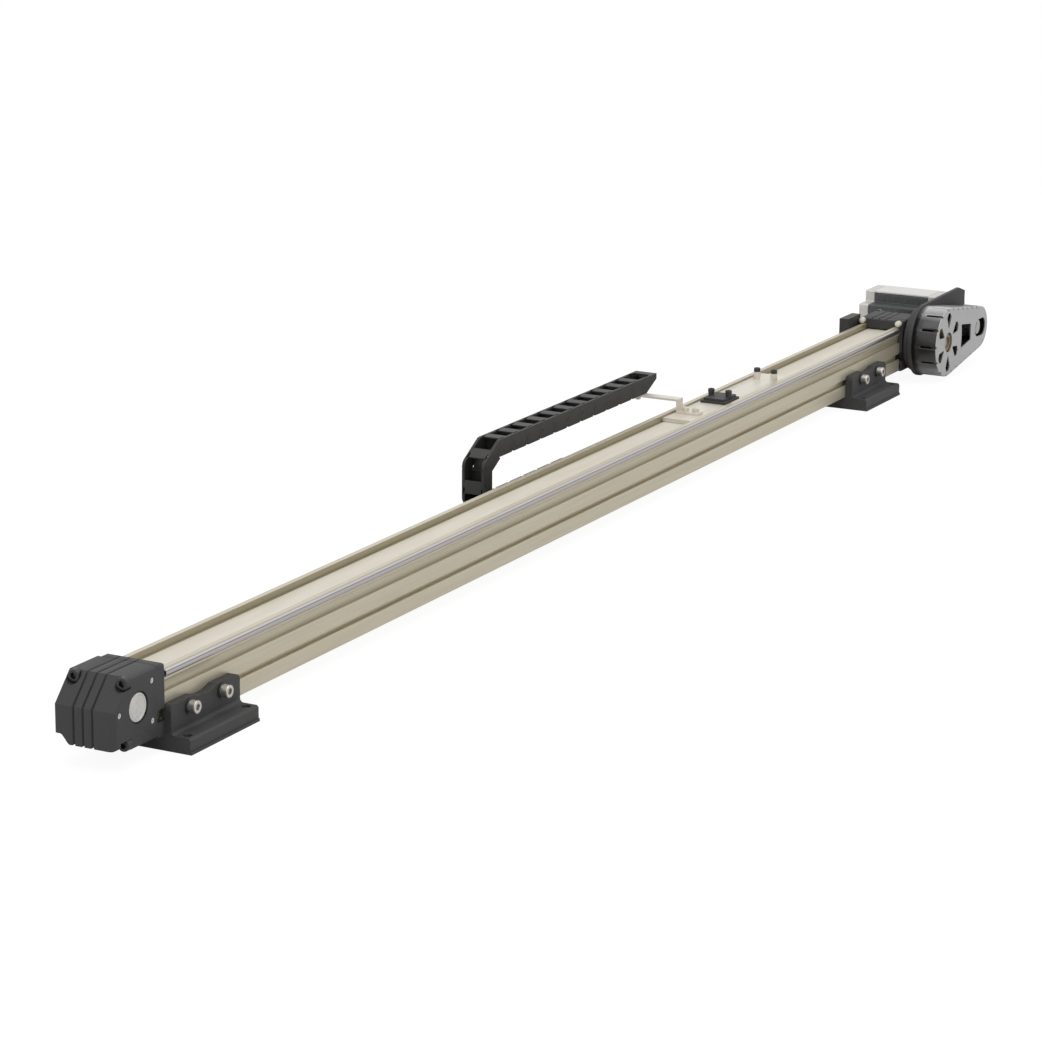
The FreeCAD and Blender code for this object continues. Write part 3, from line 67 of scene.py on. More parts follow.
# %% Camera
RIGHT = (0.46772155, -0.88384534, 0.00734649)
DOWN = (-0.2216975, -0.12535783, -0.96702411)
FORWARD = (0.85562069, 0.45066931, -0.25457886)
EYE = (-3.4361, -1.7489, 1.03)

lens = bpy.data.cameras.new("long_lens")
lens.lens, lens.sensor_width = 117.9, 36.0
lens.clip_start, lens.clip_end = 0.1, 60.0
camera = placed("camera", lens)
turn = Matrix((RIGHT, [-v for v in DOWN], [-v for v in FORWARD])).transposed()
camera.matrix_world = Matrix.Translation(EYE) @ turn.to_4x4()
bpy.context.scene.camera = camera
print("camera at", EYE, "lens", lens.lens)

# %% [markdown]
# A material is a small graph of nodes. Small helpers keep each graph short. One turns a colour
# as a paint chart writes it into the linear light that Blender mixes. One adds any node with its
# settings and links, and one begins a material.

# %% Material helpers
def linear(chart):
    """sRGB hex to linear light: c/12.92 near black, ((c+0.055)/1.055)^2.4 above."""
    c = np.array([int(chart[i:i + 2], 16) for i in (1, 3, 5)]) / 255
    light = np.where(c <= 0.04045, c / 12.92, ((c + 0.055) / 1.055) ** 2.4)
    return (*light.tolist(), 1.0)


def add(tree, kind, sockets=None, **settings):
    """Adds one node. A socket takes a plain value, or another node's output to link to."""
    node = tree.nodes.new(kind)
    for name, value in settings.items():
        setattr(node, name, value)
    for name, value in (sockets or {}).items():
        if isinstance(value, bpy.types.NodeSocket):
            tree.links.new(value, node.inputs[name])
        else:
            node.inputs[name].default_value = value
    return node


def start(name, metallic, roughness, ior=None):
    """A new material and its tree, its shader and the piece's own coordinates."""
    material = bpy.data.materials.new(name)
    material.use_nodes = True
    tree = material.node_tree
    shader = tree.nodes["Principled BSDF"]
    shader.inputs["Metallic"].default_value = metallic
    shader.inputs["Roughness"].default_value = roughness
    if ior:
        shader.inputs["IOR"].default_value = ior
    place = add(tree, "ShaderNodeTexCoord").outputs["Object"]
    return material, tree, shader, place


print("linear('#808080') =", [round(v, 3) for v in linear("#808080")])

# %% [markdown]
# Nothing real has one flat colour. Most finishes here are two close shades in lumps of a real
# size, and a fine grain of a real size and depth that the roughness follows. Two multiply that
# by painted light that depends on the height: painted shade on the profile, and a painted
# reflection on the reducer cover's wall.

# %% Patterns and finishes
EVEN = (1.0, 1.0, 1.0)


def noise(tree, place, size_mm, detail, stretch):
    """Noise in lumps of a real size. It has about one per unit, so its scale is 1 over the size."""
    where = add(tree, "ShaderNodeMapping", {"Vector": place, "Scale": stretch}).outputs[0]
    return add(tree, "ShaderNodeTexNoise", {"Vector": where, "Scale": 1 / (size_mm * MM),
                                            "Detail": detail}).outputs["Fac"]


def ramp(tree, factor, stops):
    """Colour over a factor, from stops of position and chart colour in rising order."""
    node = add(tree, "ShaderNodeValToRGB", {"Fac": factor})
    steps = node.color_ramp.elements
    steps.remove(steps[1])
    steps[0].position, steps[0].color = stops[0][0], linear(stops[0][1])
    for position, chart in stops[1:]:
        steps.new(position).color = linear(chart)
    return node.outputs[0]


def height_ramp(tree, place, low, high, stops):
    """Colour over the height Z between two levels. Levels and stops are in millimetres."""
    height = add(tree, "ShaderNodeSeparateXYZ", {"Vector": place}).outputs["Z"]
    share = add(tree, "ShaderNodeMapRange",
                {"Value": height, "From Min": low * MM, "From Max": high * MM}).outputs[0]
    return ramp(tree, share, [((level - low) / (high - low), chart) for level, chart in stops])


def mottled(tree, shader, place, shades, lump_mm, stretch=EVEN):
    """Colour that drifts between two close shades."""
    lumps = noise(tree, place, lump_mm, 3.0, stretch)
    tree.links.new(ramp(tree, lumps, [(0.3, shades[0]), (0.7, shades[1])]),
                   shader.inputs["Base Color"])


def grained(tree, shader, place, grain_mm, depth_mm, rough, stretch=EVEN):
    """Fine relief, and roughness that follows it between two values."""
    grain = noise(tree, place, grain_mm, 2.0, stretch)
    relief = add(tree, "ShaderNodeBump", {"Height": grain, "Distance": depth_mm * MM})
    tree.links.new(relief.outputs[0], shader.inputs["Normal"])
    spread = add(tree, "ShaderNodeMapRange",
                 {"Value": grain, "To Min": rough[0], "To Max": rough[1]})
    tree.links.new(spread.outputs[0], shader.inputs["Roughness"])


def finish(name, metallic, shades, lump_mm, grain_mm, depth_mm, rough, stretch=EVEN, ior=None):
    """A whole material from its shades, its lumps and its grain."""
    material, tree, shader, place = start(name, metallic, sum(rough) / 2, ior)
    mottled(tree, shader, place, shades, lump_mm, stretch)
    grained(tree, shader, place, grain_mm, depth_mm, rough, stretch)
    return material


def parts(material):
    """The tree of a finish, its shader and the piece's own coordinates, to add more to it."""
    tree = material.node_tree
    return tree, tree.nodes["Principled BSDF"], tree.nodes["Texture Coordinate"].outputs["Object"]


def apply_painted_light(tree, shader, shade):
    """Multiplies the colour that a finish has by painted light and shade."""
    colour = shader.inputs["Base Color"]
    tint = add(tree, "ShaderNodeMix", {"Factor": 1.0, 6: colour.links[0].from_socket, 7: shade},
               data_type="RGBA", blend_type="MULTIPLY")
    tree.links.new(tint.outputs[2], colour)


print("the noise scale of 1.2 mm lumps is", round(1 / (1.2 * MM)))

# %% [markdown]
# The profile is extruded aluminium, anodised in a pale champagne. Extruding leaves faint lines
# along its length, so the noise is stretched fifty times along X. The colour is half metal and
# half milky, because the anodised layer scatters light before the metal sends it back. Painted
# shade darkens the walls of the belt's recess and the low part of the coves, where shade falls:
# a colour that depends on the height multiplies the colour.
#
# Three more aluminium finishes follow: machined and anodised clear, which is paler and milkier,
# die-cast and tumbled to a soft sheen, and bead-blasted with dimples of half a millimetre.

# %% Aluminium finishes
ALONG = (0.02, 1.0, 1.0)
BED_EDGE = (23.0, 24.4)


def anodised_aluminium():
    """The extrusion's champagne, with one painted shade for the recess walls and one for the coves
    of the outer sides. They meet at the bed's edge, at these distances from the middle."""
    material = finish("anodised_aluminium", 0.55, ("#E0D6BE", "#E9E1CA"),
                      2.5, 0.9, 0.02, (0.3, 0.42), ALONG)
    tree, shader, place = parts(material)
    side = add(tree, "ShaderNodeSeparateXYZ", {"Vector": place}).outputs["Y"]
    across = add(tree, "ShaderNodeMath", {0: side}, operation="ABSOLUTE").outputs[0]
    inner = add(tree, "ShaderNodeMapRange",
                {"Value": across, "From Min": BED_EDGE[0] * MM, "From Max": BED_EDGE[1] * MM,
                 "To Min": 1.0, "To Max": 0.0}).outputs[0]
    # Painted shade low in the coves of the outer sides, where shade falls.
    cove_painted_shade = height_ramp(tree, place, 16, 80, [
        (55.8, "#E1E1E1"), (56.3, "#C9C8C5"), (60.5, "#D0CFCD"), (65.5, "#E1E1E1")])
    # Painted shade on the walls of the belt's recess, where shade falls.
    recess_painted_shade = height_ramp(tree, place, 16, 80, [
        (44.0, "#FFFFFF"), (69.2, "#D0D0CE"), (70.6, "#BFBEB8"), (78.6, "#BFBEB8"),
        (79.3, "#E1E1E1")])
    # The painted shade of the coves outside the bed's edge, that of the recess inside it.
    both = add(tree, "ShaderNodeMix", {"Factor": inner, 6: cove_painted_shade, 7: recess_painted_shade}, data_type="RGBA")
    apply_painted_light(tree, shader, both.outputs[2])
    return material


PROFILE = anodised_aluminium()
CLEAR = finish("clear_anodised_aluminium", 0.35, ("#DFD8CB", "#E8E2D7"),
               2.5, 0.7, 0.02, (0.36, 0.48), ALONG)
CAST = finish("cast_aluminium", 0.6, ("#CAC8C3", "#D5D3CF"), 3.0, 0.4, 0.03, (0.38, 0.52))
BLASTED = finish("blasted_aluminium", 0.4, ("#DEDCD8", "#E8E6E3"), 2.0, 0.5, 0.02, (0.44, 0.56))
print("aluminium:", [m.name for m in (PROFILE, CLEAR, CAST, BLASTED)])

# %% [markdown]
# The black parts are cast aluminium with a matte powder coat. Powder melts into a fine orange
# peel of about half a millimetre, which breaks every highlight. It is drawn a little coarser
# than real, so that it shows from four metres.

# %% Powder coat
COATED = finish("powder_coated_aluminium", 0.0, ("#323232", "#3B3B3B"),
                1.2, 0.7, 0.07, (0.55, 0.7), ior=1.5)
print("powder coat:", COATED.name)

# %% [markdown]
# Steel comes in five finishes here. Guide rods are hardened and ground, so their lines run round
# them and they shine. Screws are either blackened or bright zinc. The trough is galvanised sheet
# with its flower-like spangle, and the stator is a stack of thin sheets.

# %% Steel finishes
def ground_steel():
    """Ground round its axis. Its colour over the height is a painted reflection: a dark line along
    the rods' upper side and a lighter top above it.
    """
    material, tree, shader, place = start("ground_steel", 1.0, 0.3)
    # Painted reflection on the rods: a dark line, and a lighter top above it.
    shade = height_ramp(tree, place, 70.4, 78.4, [
        (75.84, "#B6B2B2"), (76.32, "#7F7A7A"), (76.8, "#858080"), (77.2, "#C4C0C0")])
    tree.links.new(shade, shader.inputs["Base Color"])
    grained(tree, shader, place, 0.5, 0.004, (0.24, 0.36), (2.0, 0.2, 0.2))
    return material


def galvanised_steel():
    """Spangle: flat crystals about 9 mm across, each a slightly different grey."""
    material, tree, shader, place = start("galvanised_steel", 0.85, 0.42)
    crystals = add(tree, "ShaderNodeTexVoronoi", {"Vector": place, "Scale": 1 / (9 * MM)})
    shade = ramp(tree, crystals.outputs["Color"], [(0.0, "#A3A6A8"), (1.0, "#BEC1C3")])
    tree.links.new(shade, shader.inputs["Base Color"])
    grained(tree, shader, place, 0.8, 0.01, (0.36, 0.5))
    return material


WAVE = 30.0


def laminated_steel():
    """A stack of sheets along Y, drawn as soft ridges so that it shows. A wave texture repeats
    after 2 pi / 20 of the length in its scale, so 30 mm draw ridges 9.4 mm apart."""
    material, tree, shader, place = start("laminated_steel", 0.5, 0.5)
    mottled(tree, shader, place, ("#4A4B4C", "#5E5F60"), 1.5, (0.2, 1.0, 0.2))
    ridges = add(tree, "ShaderNodeTexWave",
                 {"Vector": place, "Scale": 1 / (WAVE * MM)}, bands_direction="Y")
    relief = add(tree, "ShaderNodeBump", {"Height": ridges.outputs["Fac"], "Distance": 0.1 * MM})
    tree.links.new(relief.outputs[0], shader.inputs["Normal"])
    return material


GROUND = ground_steel()
GALVANISED = galvanised_steel()
LAMINATED = laminated_steel()
BLACK_STEEL = finish("blackened_steel", 0.7, ("#3C3C3F", "#49494B"), 1.0, 0.3, 0.02, (0.32, 0.46))
ZINC = finish("zinc_plated_steel", 0.9, ("#BEBAB4", "#CFCCC6"), 1.5, 0.3, 0.01, (0.24, 0.38))
print("steels:", [m.name for m in (GROUND, BLACK_STEEL, ZINC, GALVANISED, LAMINATED)])

# %% [markdown]
# Plastics: the drive belt and bumpers are cream polyurethane, the chain is moulded nylon in
# charcoal, the reducer belt is black rubber. Moulded plastic keeps the mould's satin texture,
# and the belt has faint handling marks that drift along it over some 60 mm.

# %% Plastics and rubber
BELT = finish("cream_polyurethane", 0.0, ("#E0DACA", "#E9E3D5"),
              14.0, 0.6, 0.02, (0.4, 0.55), (0.15, 1.0, 1.0), 1.5)
NYLON = finish("moulded_nylon", 0.0, ("#222120", "#292826"),
               1.6, 0.5, 0.04, (0.44, 0.58), ior=1.53)
RUBBER = finish("black_rubber", 0.0, ("#1C1C1C", "#252525"),
                1.0, 0.3, 0.03, (0.65, 0.8), ior=1.52)
print("plastics:", BELT.name, NYLON.name, RUBBER.name)

# %% [markdown]
# The reducer cover is pressed metal under a metallic grey lacquer: tiny flakes catch the light,
# so its flat face looks speckled. Its round side runs from light to dark in a painted reflection.
# The hub in its middle is bronze.

# %% Lacquer and bronze
def lacquer(name, metallic, shades, depth_mm, rough, stretch, coat_rough):
    """Flakes of 0.3 mm in clear lacquer, drawn 0.8 mm wide so that they show."""
    material = finish(name, metallic, shades, 0.8, 0.8, depth_mm, rough, stretch)
    shader = parts(material)[1]
    shader.inputs["Coat Weight"].default_value = 0.3
    shader.inputs["Coat Roughness"].default_value = coat_rough
    return material


def lacquer_with_painted_reflection():
    """The same lacquer with a painted reflection: darker half way down the wall, and light again
    where it turns towards the top and the bottom."""
    material = lacquer("lacquer_with_painted_reflection", 0.6, ("#C8C8C8", "#E4E4E4"),
                       0.02, (0.26, 0.4), (1.0, 0.2, 1.0), 0.12)
    tree, shader, place = parts(material)
    # Painted reflection over the height of the wall.
    apply_painted_light(tree, shader, height_ramp(tree, place, 6.7, 103.5, [
        (6.7, "#D8D8D8"), (16.4, "#C4C4C4"), (26.1, "#767575"), (37.7, "#4C4B4B"),
        (50.3, "#403F3E"), (74.5, "#434343"), (89.9, "#4E4E4E"), (98.7, "#B4B4B4"),
        (103.5, "#E4E4E4")]))
    return material


LACQUER = lacquer("grey_lacquer", 0.75, ("#9C9C9D", "#C4C4C5"), 0.03, (0.28, 0.46), EVEN, 0.15)
PAINTED_REFLECTION_LACQUER = lacquer_with_painted_reflection()
BRONZE = finish("bronze", 0.9, ("#7D6C53", "#958162"), 2.0, 0.4, 0.01, (0.28, 0.42))
print("lacquer and bronze:", LACQUER.name, PAINTED_REFLECTION_LACQUER.name, BRONZE.name)

# %% [markdown]
# Real edges are never sharp: they catch a thin line of light. A CAD node arrives as loose
# triangles, so a Weld modifier joins them first and a Bevel modifier then rounds the edges that
# turn by more than thirty degrees. The node itself stays where the CAD put it.

# %% Finish the CAD nodes
JOINED_MM, SHARP = 0.002, math.radians(30)


def soften(made, edge_mm):
    """Welds the triangles, then rounds every edge that turns by more than thirty degrees."""
    weld = made.modifiers.new("weld", "WELD")
    weld.merge_threshold = JOINED_MM * MM
    bevel = made.modifiers.new("soft_edge", "BEVEL")
    bevel.width, bevel.segments = edge_mm * MM, 2
    bevel.limit_method, bevel.angle_limit = "ANGLE", SHARP
    bevel.harden_normals = True
    bevel.miter_outer = "MITER_ARC"


def finish_node(name, material, edge_mm):
    """Gives a CAD node its finish and, where edge_mm isn't 0, rounds its edges."""
    node = nodes[name]
    node.data.materials.clear()
    node.data.materials.append(material)
    if edge_mm:
        soften(node, edge_mm)


FINISHES = {
    CLEAR: [("slider", 0.4), ("plate_standoffs", 0), ("chain_arm", 0.4)],
    COATED: [("idler_flange", 0.4), ("drive_housing", 0.5), ("drive_flange", 0.4),
             ("foot_idler_end", 0.35), ("foot_drive_end", 0.35), ("belt_clamp", 0.5),
             ("clamp_spacers", 0), ("box_bracket", 0.3), ("trough_brackets", 0.3)],
    BELT: [("toothed_belt", 0.2)],
    NYLON: [("chain_moving_end", 0.3), ("chain_fixed_end", 0.3), ("sensor_box", 0)],
    RUBBER: [("reducer_belt", 0)],
    GROUND: [("idler_axle", 0), ("drive_shaft", 0), ("motor_shaft", 0), ("idler_bearings", 0),
             ("drive_bearings", 0)],
    ZINC: [("foot_slot_nuts", 0), ("trough_slot_nuts", 0), ("box_fastening", 0),
           ("motor_pulley", 0), ("idler_pulley", 0), ("drive_pulley", 0)],
    BLACK_STEEL: [("reducer_plate_screws", 0), ("motor_screws", 0)],
    BRONZE: [("large_reducer_pulley", 0)],
    GALVANISED: [("chain_trough", 0.2)],
}
for material, members in FINISHES.items():
    for name, edge in members:
        finish_node(name, material, edge)
covered = {name for members in FINISHES.values() for name, edge in members}
print("finished nodes:", len(covered), "to be replaced:", sorted(set(nodes) - covered))

# %% [markdown]
# The rest of the lesson makes new surfaces. A surface here is a stack of closed rings of points:
# skinning neighbouring rings gives quads, and one face shuts each end. The rings come from
# formulas on whole numpy arrays, so a screw head and a motor body use the same few helpers.

# %% Shell helpers
def cells(rows, cols):
    """Quads between closed rings: cell r, c joins points c and c+1 of rings r and r+1."""
    r, c = np.mgrid[0:rows - 1, 0:cols]
    near, far = r * cols + c, r * cols + (c + 1) % cols
    return np.stack([near, far, far + cols, near + cols], -1)


def loft(rings):
    """Skin over closed rings (rings, points, 3), with one face at each end."""
    rows, cols = rings.shape[:2]
    first = np.arange(cols)[None, ::-1]
    last = (rows - 1) * cols + np.arange(cols)[None, :]
    return outward(rings.reshape(-1, 3), [cells(rows, cols).reshape(-1, 4), first, last])


def six_volumes(points, faces):
    """Six times the volume under faces cut into fans: the sum of a . (b x c)."""
    p = points[faces]
    return (p[:, :1] * np.cross(p[:, 1:-1], p[:, 2:])).sum()


def outward(points, blocks):
    """Turns all faces round if they enclose a negative volume, so that they point out."""
    if sum(six_volumes(points, faces) for faces in blocks) < 0:
        blocks = [faces[:, ::-1] for faces in blocks]
    return points, blocks


def join(shells):
    """Several shells as one: each shell's face numbers move up by the points before it."""
    starts = np.cumsum([0] + [len(points) for points, blocks in shells])
    points = np.concatenate([points for points, blocks in shells])
    blocks = [faces + first for (p, part), first in zip(shells, starts) for faces in part]
    return points, blocks


def moved(shell, by=(0, 0, 0), turn_y=0.0, flip=None):
    """A shell turned about Y by an angle, mirrored across one axis, then shifted."""
    points, blocks = shell
    c, s = math.cos(math.radians(turn_y)), math.sin(math.radians(turn_y))
    points = points @ np.array([(c, 0, -s), (0, 1, 0), (s, 0, c)])
    if flip is not None:
        points = points * np.where(np.arange(3) == flip, -1, 1)
        blocks = [faces[:, ::-1] for faces in blocks]
    return points + np.array(by), blocks


print("quads between two rings of three:", cells(2, 3).reshape(-1, 4).tolist())

# %% [markdown]
# A finished shell becomes an object at the origin, with its place in its mesh. Where a body is
# named it rides on it, and it stands for CAD nodes, which it hides.

# %% From shell to piece
def mesh_of(name, shell):
    """A mesh in metres from a shell in millimetres."""
    points, blocks = shell
    mesh = bpy.data.meshes.new(name)
    mesh.from_pydata((points * MM).tolist(), [], [f for faces in blocks for f in faces.tolist()])
    return mesh


def piece(name, shell, material, body, stands_for, sharp=32.0):
    """Makes the object. Where a body is named it rides on it. Its shading goes by the area of each
    face, so that a flat side stays flat beside its rounded edges."""
    mesh = mesh_of(name, shell)
    mesh.polygons.foreach_set("use_smooth", np.ones(len(mesh.polygons), bool))
    mesh.set_sharp_from_angle(angle=math.radians(sharp))
    mesh.materials.append(material)
    made = placed(name, mesh)
    made.modifiers.new("flat_faces", "WEIGHTED_NORMAL").keep_sharp = True
    if body:
        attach(made, body)
    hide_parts(*stands_for)
    print(name, len(mesh.polygons), "faces on", body or "two bodies")
    return made


# %% [markdown]
# Turning on a lathe: a profile of distance and radius is spun about an axis. The radius may
# change with the angle, which is all that a hexagon socket or a knurled rim needs.

# %% Turned shapes
def turned(profile, centre, axis, sides=48):
    """Point = centre + along*axis + r(t)*(cos t*u + sin t*v), r a number or one per angle t."""
    t = np.arange(sides) * 2 * math.pi / sides
    axis = np.array(axis, float)
    u = np.roll(axis, 1)
    v = np.cross(axis, u)
    spoke = np.cos(t)[:, None] * u + np.sin(t)[:, None] * v
    along = np.array([a for a, r in profile], float)[:, None, None]
    radius = np.stack([np.broadcast_to(r, sides) for a, r in profile])[..., None]
    return loft(np.array(centre, float) + along * axis + radius * spoke)


def round_rod(centre, axis, length, radius, chamfer=0.4, sides=48):
    """A plain bar with a small chamfer at both ends."""
    profile = [(0, radius - chamfer), (chamfer, radius), (length - chamfer, radius),
               (length, radius - chamfer)]
    return turned(profile, centre, axis, sides)


def cap_screw(seat, axis, size, length, sides=72):
    """Thread, knurled head and hexagon socket. Hexagon radius: k/2 / cos(t mod 60 - 30)."""
    thread, head_d, head_h, key = size
    t = np.arange(sides) * 360 / sides
    hexagon = key / 2 / np.cos(np.radians((t + 30) % 60 - 30))
    rim = head_d / 2
    knurl = rim - 0.012 * head_d * (np.arange(sides) % 2)
    bottom = -0.4 * head_h
    profile = [
        (length, thread / 2 * 0.8), (length - thread / 8, thread / 2), (0, thread / 2),
        (0, rim - 0.02 * head_d), (-0.03 * head_d, rim), (-0.06 * head_d, knurl),
        (0.12 * head_d - head_h, knurl), (0.09 * head_d - head_h, rim),
        (0.03 * head_d - head_h, rim - 0.02 * head_d), (-head_h, rim - 0.07 * head_d),
        (-head_h, hexagon + 0.03 * head_d), (0.03 * head_d - head_h, hexagon),
        (bottom, hexagon), (bottom + 0.06 * head_d, hexagon * 0.15),
    ]
    return turned(profile, seat, axis, sides)


print("a turned pin has", len(round_rod((0, 0, 0), (0, 0, 1), 10.0, 2.0)[0]), "points")

# %% [markdown]
# Screws come in standard sizes, so four numbers give each one. Black corner screws hold the two
# end housings, and bright screws on dark washers hold the feet in the profile's slots.

# %% Corner and foot screws
# Thread, head diameter, head height and hexagon key of each size.
M3 = (3.0, 6.0, 2.4, 2.5)
M4 = (4.0, 7.0, 4.0, 3.0)
M5 = (5.0, 8.5, 5.0, 4.0)
M6 = (6.0, 10.0, 6.0, 5.0)
M8 = (8.0, 13.0, 8.0, 6.0)
SLOT_Z, AXIS_Z, IDLER_X, DRIVE_X, MOTOR_X = 36.7, 55.1, -934.0, 1009.0, 1134.8
START_X, END_X, CORNER_SEAT, CORNER_Y = -891.0, 966.0, 55.0, 27.0
WASHER_Y, WASHER_T = 38.9, 1.6
SIDES = (-1, 1)
CORNER_PLACES = [(s * CORNER_Y, z) for s in SIDES for z in (82.0, 23.0)]
FOOT_X = (-859.0, -803.0, 803.0, 859.0)


def corner_screws(seat_x, way):
    return join([cap_screw((seat_x, y, z), (way, 0, 0), M8, 54.0) for y, z in CORNER_PLACES])


def foot_screw(x, side):
    return cap_screw((x, side * (WASHER_Y + WASHER_T), SLOT_Z), (0, -side, 0), M8, 17.3)


def washer(x, side):
    profile = [(0, 4.2), (0, 7.8), (0.2, 8.0), (WASHER_T - 0.2, 8.0), (WASHER_T, 7.8),
               (WASHER_T, 4.2)]
    return turned(profile, (x, side * WASHER_Y, SLOT_Z), (0, side, 0))


piece("idler_corner_cap_screws", corner_screws(START_X - CORNER_SEAT, 1), BLACK_STEEL, "track",
      ["idler_corner_screws"])
piece("drive_corner_cap_screws", corner_screws(END_X + CORNER_SEAT, -1), BLACK_STEEL, "track",
      ["drive_corner_screws"])
piece("foot_cap_screws", join([foot_screw(x, s) for x in FOOT_X for s in SIDES]), ZINC, "track",
      ["foot_screws"])
piece("foot_dark_washers", join([washer(x, s) for x in FOOT_X for s in SIDES]), BLACK_STEEL,
      "track", ["foot_washers"])

# %% [markdown]
# The same cap screw in other sizes holds everything else: a robot's plate on the carriage, the
# sides of the housings, the arm that pulls the chain and the trough that the chain lies in.

# %% Other screws
CARRIAGE_X, CHAIN_MID_Y = 494.5, 78.5
SIDE_SCREW_R, SIDE_SEAT_Y = 30.5, 29.0
plate_places = [(CARRIAGE_X + sx * 71.25, sy * 12.0) for sx in SIDES for sy in SIDES]
piece("plate_cap_screws",
      join([cap_screw((x, y, 86.28), (0, 0, -1), M5, 14.0) for x, y in plate_places]),
      BLACK_STEEL, "carriage", ["plate_screws"])


def side_places(axis_x, sign):
    """Three spots round a pulley axis, at 40, 180 and -40 degrees."""
    turn = np.radians([40.0, 180.0, -40.0])
    return list(zip(axis_x + sign * SIDE_SCREW_R * np.cos(turn),
                    AXIS_Z + SIDE_SCREW_R * np.sin(turn)))


def side_screws(places, sides):
    return join([cap_screw((x, s * SIDE_SEAT_Y, z), (0, -s, 0), M3, 5.2)
                 for x, z in places for s in sides])


IDLER_PLACES = side_places(IDLER_X, 1)
piece("idler_side_cap_screws", side_screws(IDLER_PLACES, SIDES), BLASTED, "track",
      ["idler_side_screws"])
piece("drive_side_cap_screws", side_screws(side_places(DRIVE_X, -1), (1,)), BLASTED, "track",
      ["drive_side_screws"])
arm_screws = [cap_screw((336.0, s * 7.0, 79.78), (0, 0, -1), M5, 7.5) for s in SIDES]
arm_screws += [cap_screw((334.5, CHAIN_MID_Y + s * 6.0, 91.9), (0, 0, 1), M4, 5.2)
               for s in SIDES]
piece("chain_arm_cap_screws", join(arm_screws), CLEAR, "carriage", ["chain_arm_screws"])
trough_screws = [cap_screw((x, 31.6, SLOT_Z), (0, -1, 0), M6, 8.4)
                 for x in (-380.0, -100.0, 150.0)]
trough_screws += [cap_screw((183.5, CHAIN_MID_Y + s * 6.0, 27.1), (0, 0, -1), M4, 4.0)
                  for s in SIDES]
piece("trough_cap_screws", join(trough_screws), ZINC, "track", ["trough_screws"])

# %% [markdown]
# Pressed caps cover the bearings, domed bumpers stop the slider at both ends, and the guide rods
# are plain bars. All are turned too.

# %% Caps, bumpers and rods
CAP_SEAT_Y = 29.8
ROD_Y, ROD_Z, ROD_R = 27.4, 74.4, 4.0


def bearing_cap(x, side):
    """A pressed cap with a shallow ring groove, 28 mm across."""
    profile = [(0, 13.8), (0.2, 14.0), (1.1, 14.0), (1.4, 13.6), (1.4, 11.9), (1.0, 11.6),
               (1.0, 11.2), (1.4, 10.9), (1.4, 0.3)]
    return turned(profile, (x, side * CAP_SEAT_Y, AXIS_Z), (0, side, 0), 72)


def bumper(x, way, side, radius=4.0, stub=6.0, z=83.9):
    """A stub with a dome: radius r cos a at r sin a beyond the stub."""
    a = np.radians(np.linspace(0, 88, 9))
    dome = list(zip(stub + radius * np.sin(a), radius * np.cos(a)))
    profile = [(0, radius - 0.3), (0.3, radius)] + dome
    return turned(profile, (x, side * CORNER_Y, z), (way, 0, 0), 32)


piece("idler_caps", join([bearing_cap(IDLER_X, s) for s in SIDES]), CAST, "track",
      ["idler_bearing_caps"])
piece("drive_cap", bearing_cap(DRIVE_X, 1), CAST, "track", ["drive_bearing_cap"])
piece("idler_end_bumpers", join([bumper(START_X, 1, s, 3.0, 2.0, 82.6) for s in SIDES]), BELT,
      "track", ["idler_bumpers"])
piece("drive_end_bumpers", join([bumper(END_X, -1, s) for s in SIDES]), BELT, "track",
      ["drive_bumpers"])
piece("round_guide_rods",
      join([round_rod((START_X + 6.0, s * ROD_Y, ROD_Z), (1, 0, 0), END_X - START_X - 12.0, ROD_R,
                      0.6, 64) for s in SIDES]),
      GROUND, "track", ["guide_rods"])

# %% [markdown]
# Plates and bars: a flat outline is carried across its thickness, and its rim is drawn in at
# both faces along a quarter circle, so that the edge is truly round. Corners of the outline are
# rounded first, by a curve that leaves one side and meets the next.

# %% Plates with round edges
def unit(v):
    return v / np.linalg.norm(v, axis=-1, keepdims=True)


def area(loop):
    """Signed area of a loop: half the sum of x1 y2 - x2 y1, above zero if counter-clockwise."""
    x, y = loop[:, 0], loop[:, 1]
    return (x * np.roll(y, -1) - np.roll(x, -1) * y).sum() / 2


def rounded(corners, radius, steps=5):
    """Corner c becomes (1-t)^2 a + 2t(1-t) c + t^2 b, a and b at `radius` along its sides."""
    c = np.array(corners, float)
    size = np.broadcast_to(radius, len(c))[:, None]
    a = c + size * unit(np.roll(c, 1, 0) - c)
    b = c + size * unit(np.roll(c, -1, 0) - c)
    t = np.linspace(0, 1, steps)[None, :, None]
    curve = (1 - t) ** 2 * a[:, None] + 2 * t * (1 - t) * c[:, None] + t ** 2 * b[:, None]
    return curve.reshape(-1, 2)


def inset(outline, by):
    """Moves a counter-clockwise outline inwards. A point slides by * 2 n / (n.n), where n is the
    sum of the normals of its two sides."""
    ahead, behind = unit(np.roll(outline, -1, 0) - outline), unit(outline - np.roll(outline, 1, 0))
    n = np.stack([-ahead[:, 1] - behind[:, 1], ahead[:, 0] + behind[:, 0]], 1)
    return outline + by * 2 * n / (n * n).sum(1, keepdims=True)


def plate(outline, along, start_at, end_at, edge=0.4, steps=3):
    """Carries an outline along one axis: inset e(1-sin a), travel e(1-cos a) at each end."""
    loop = np.array(outline, float)
    if area(loop) < 0:
        loop = loop[::-1]
    a = np.linspace(0, math.pi / 2, steps)
    drawn = [inset(loop, edge * (1 - math.sin(v))) for v in a]
    travel = [edge * (1 - math.cos(v)) for v in a]
    levels = [start_at + d for d in travel] + [end_at - d for d in travel[::-1]]
    flats = drawn + drawn[::-1]
    rings = [np.insert(flat, along, level, axis=1) for flat, level in zip(flats, levels)]
    return loft(np.array(rings))


def box_outline(x0, x1, y0, y1):
    return [(x0, y0), (x1, y0), (x1, y1), (x0, y1)]


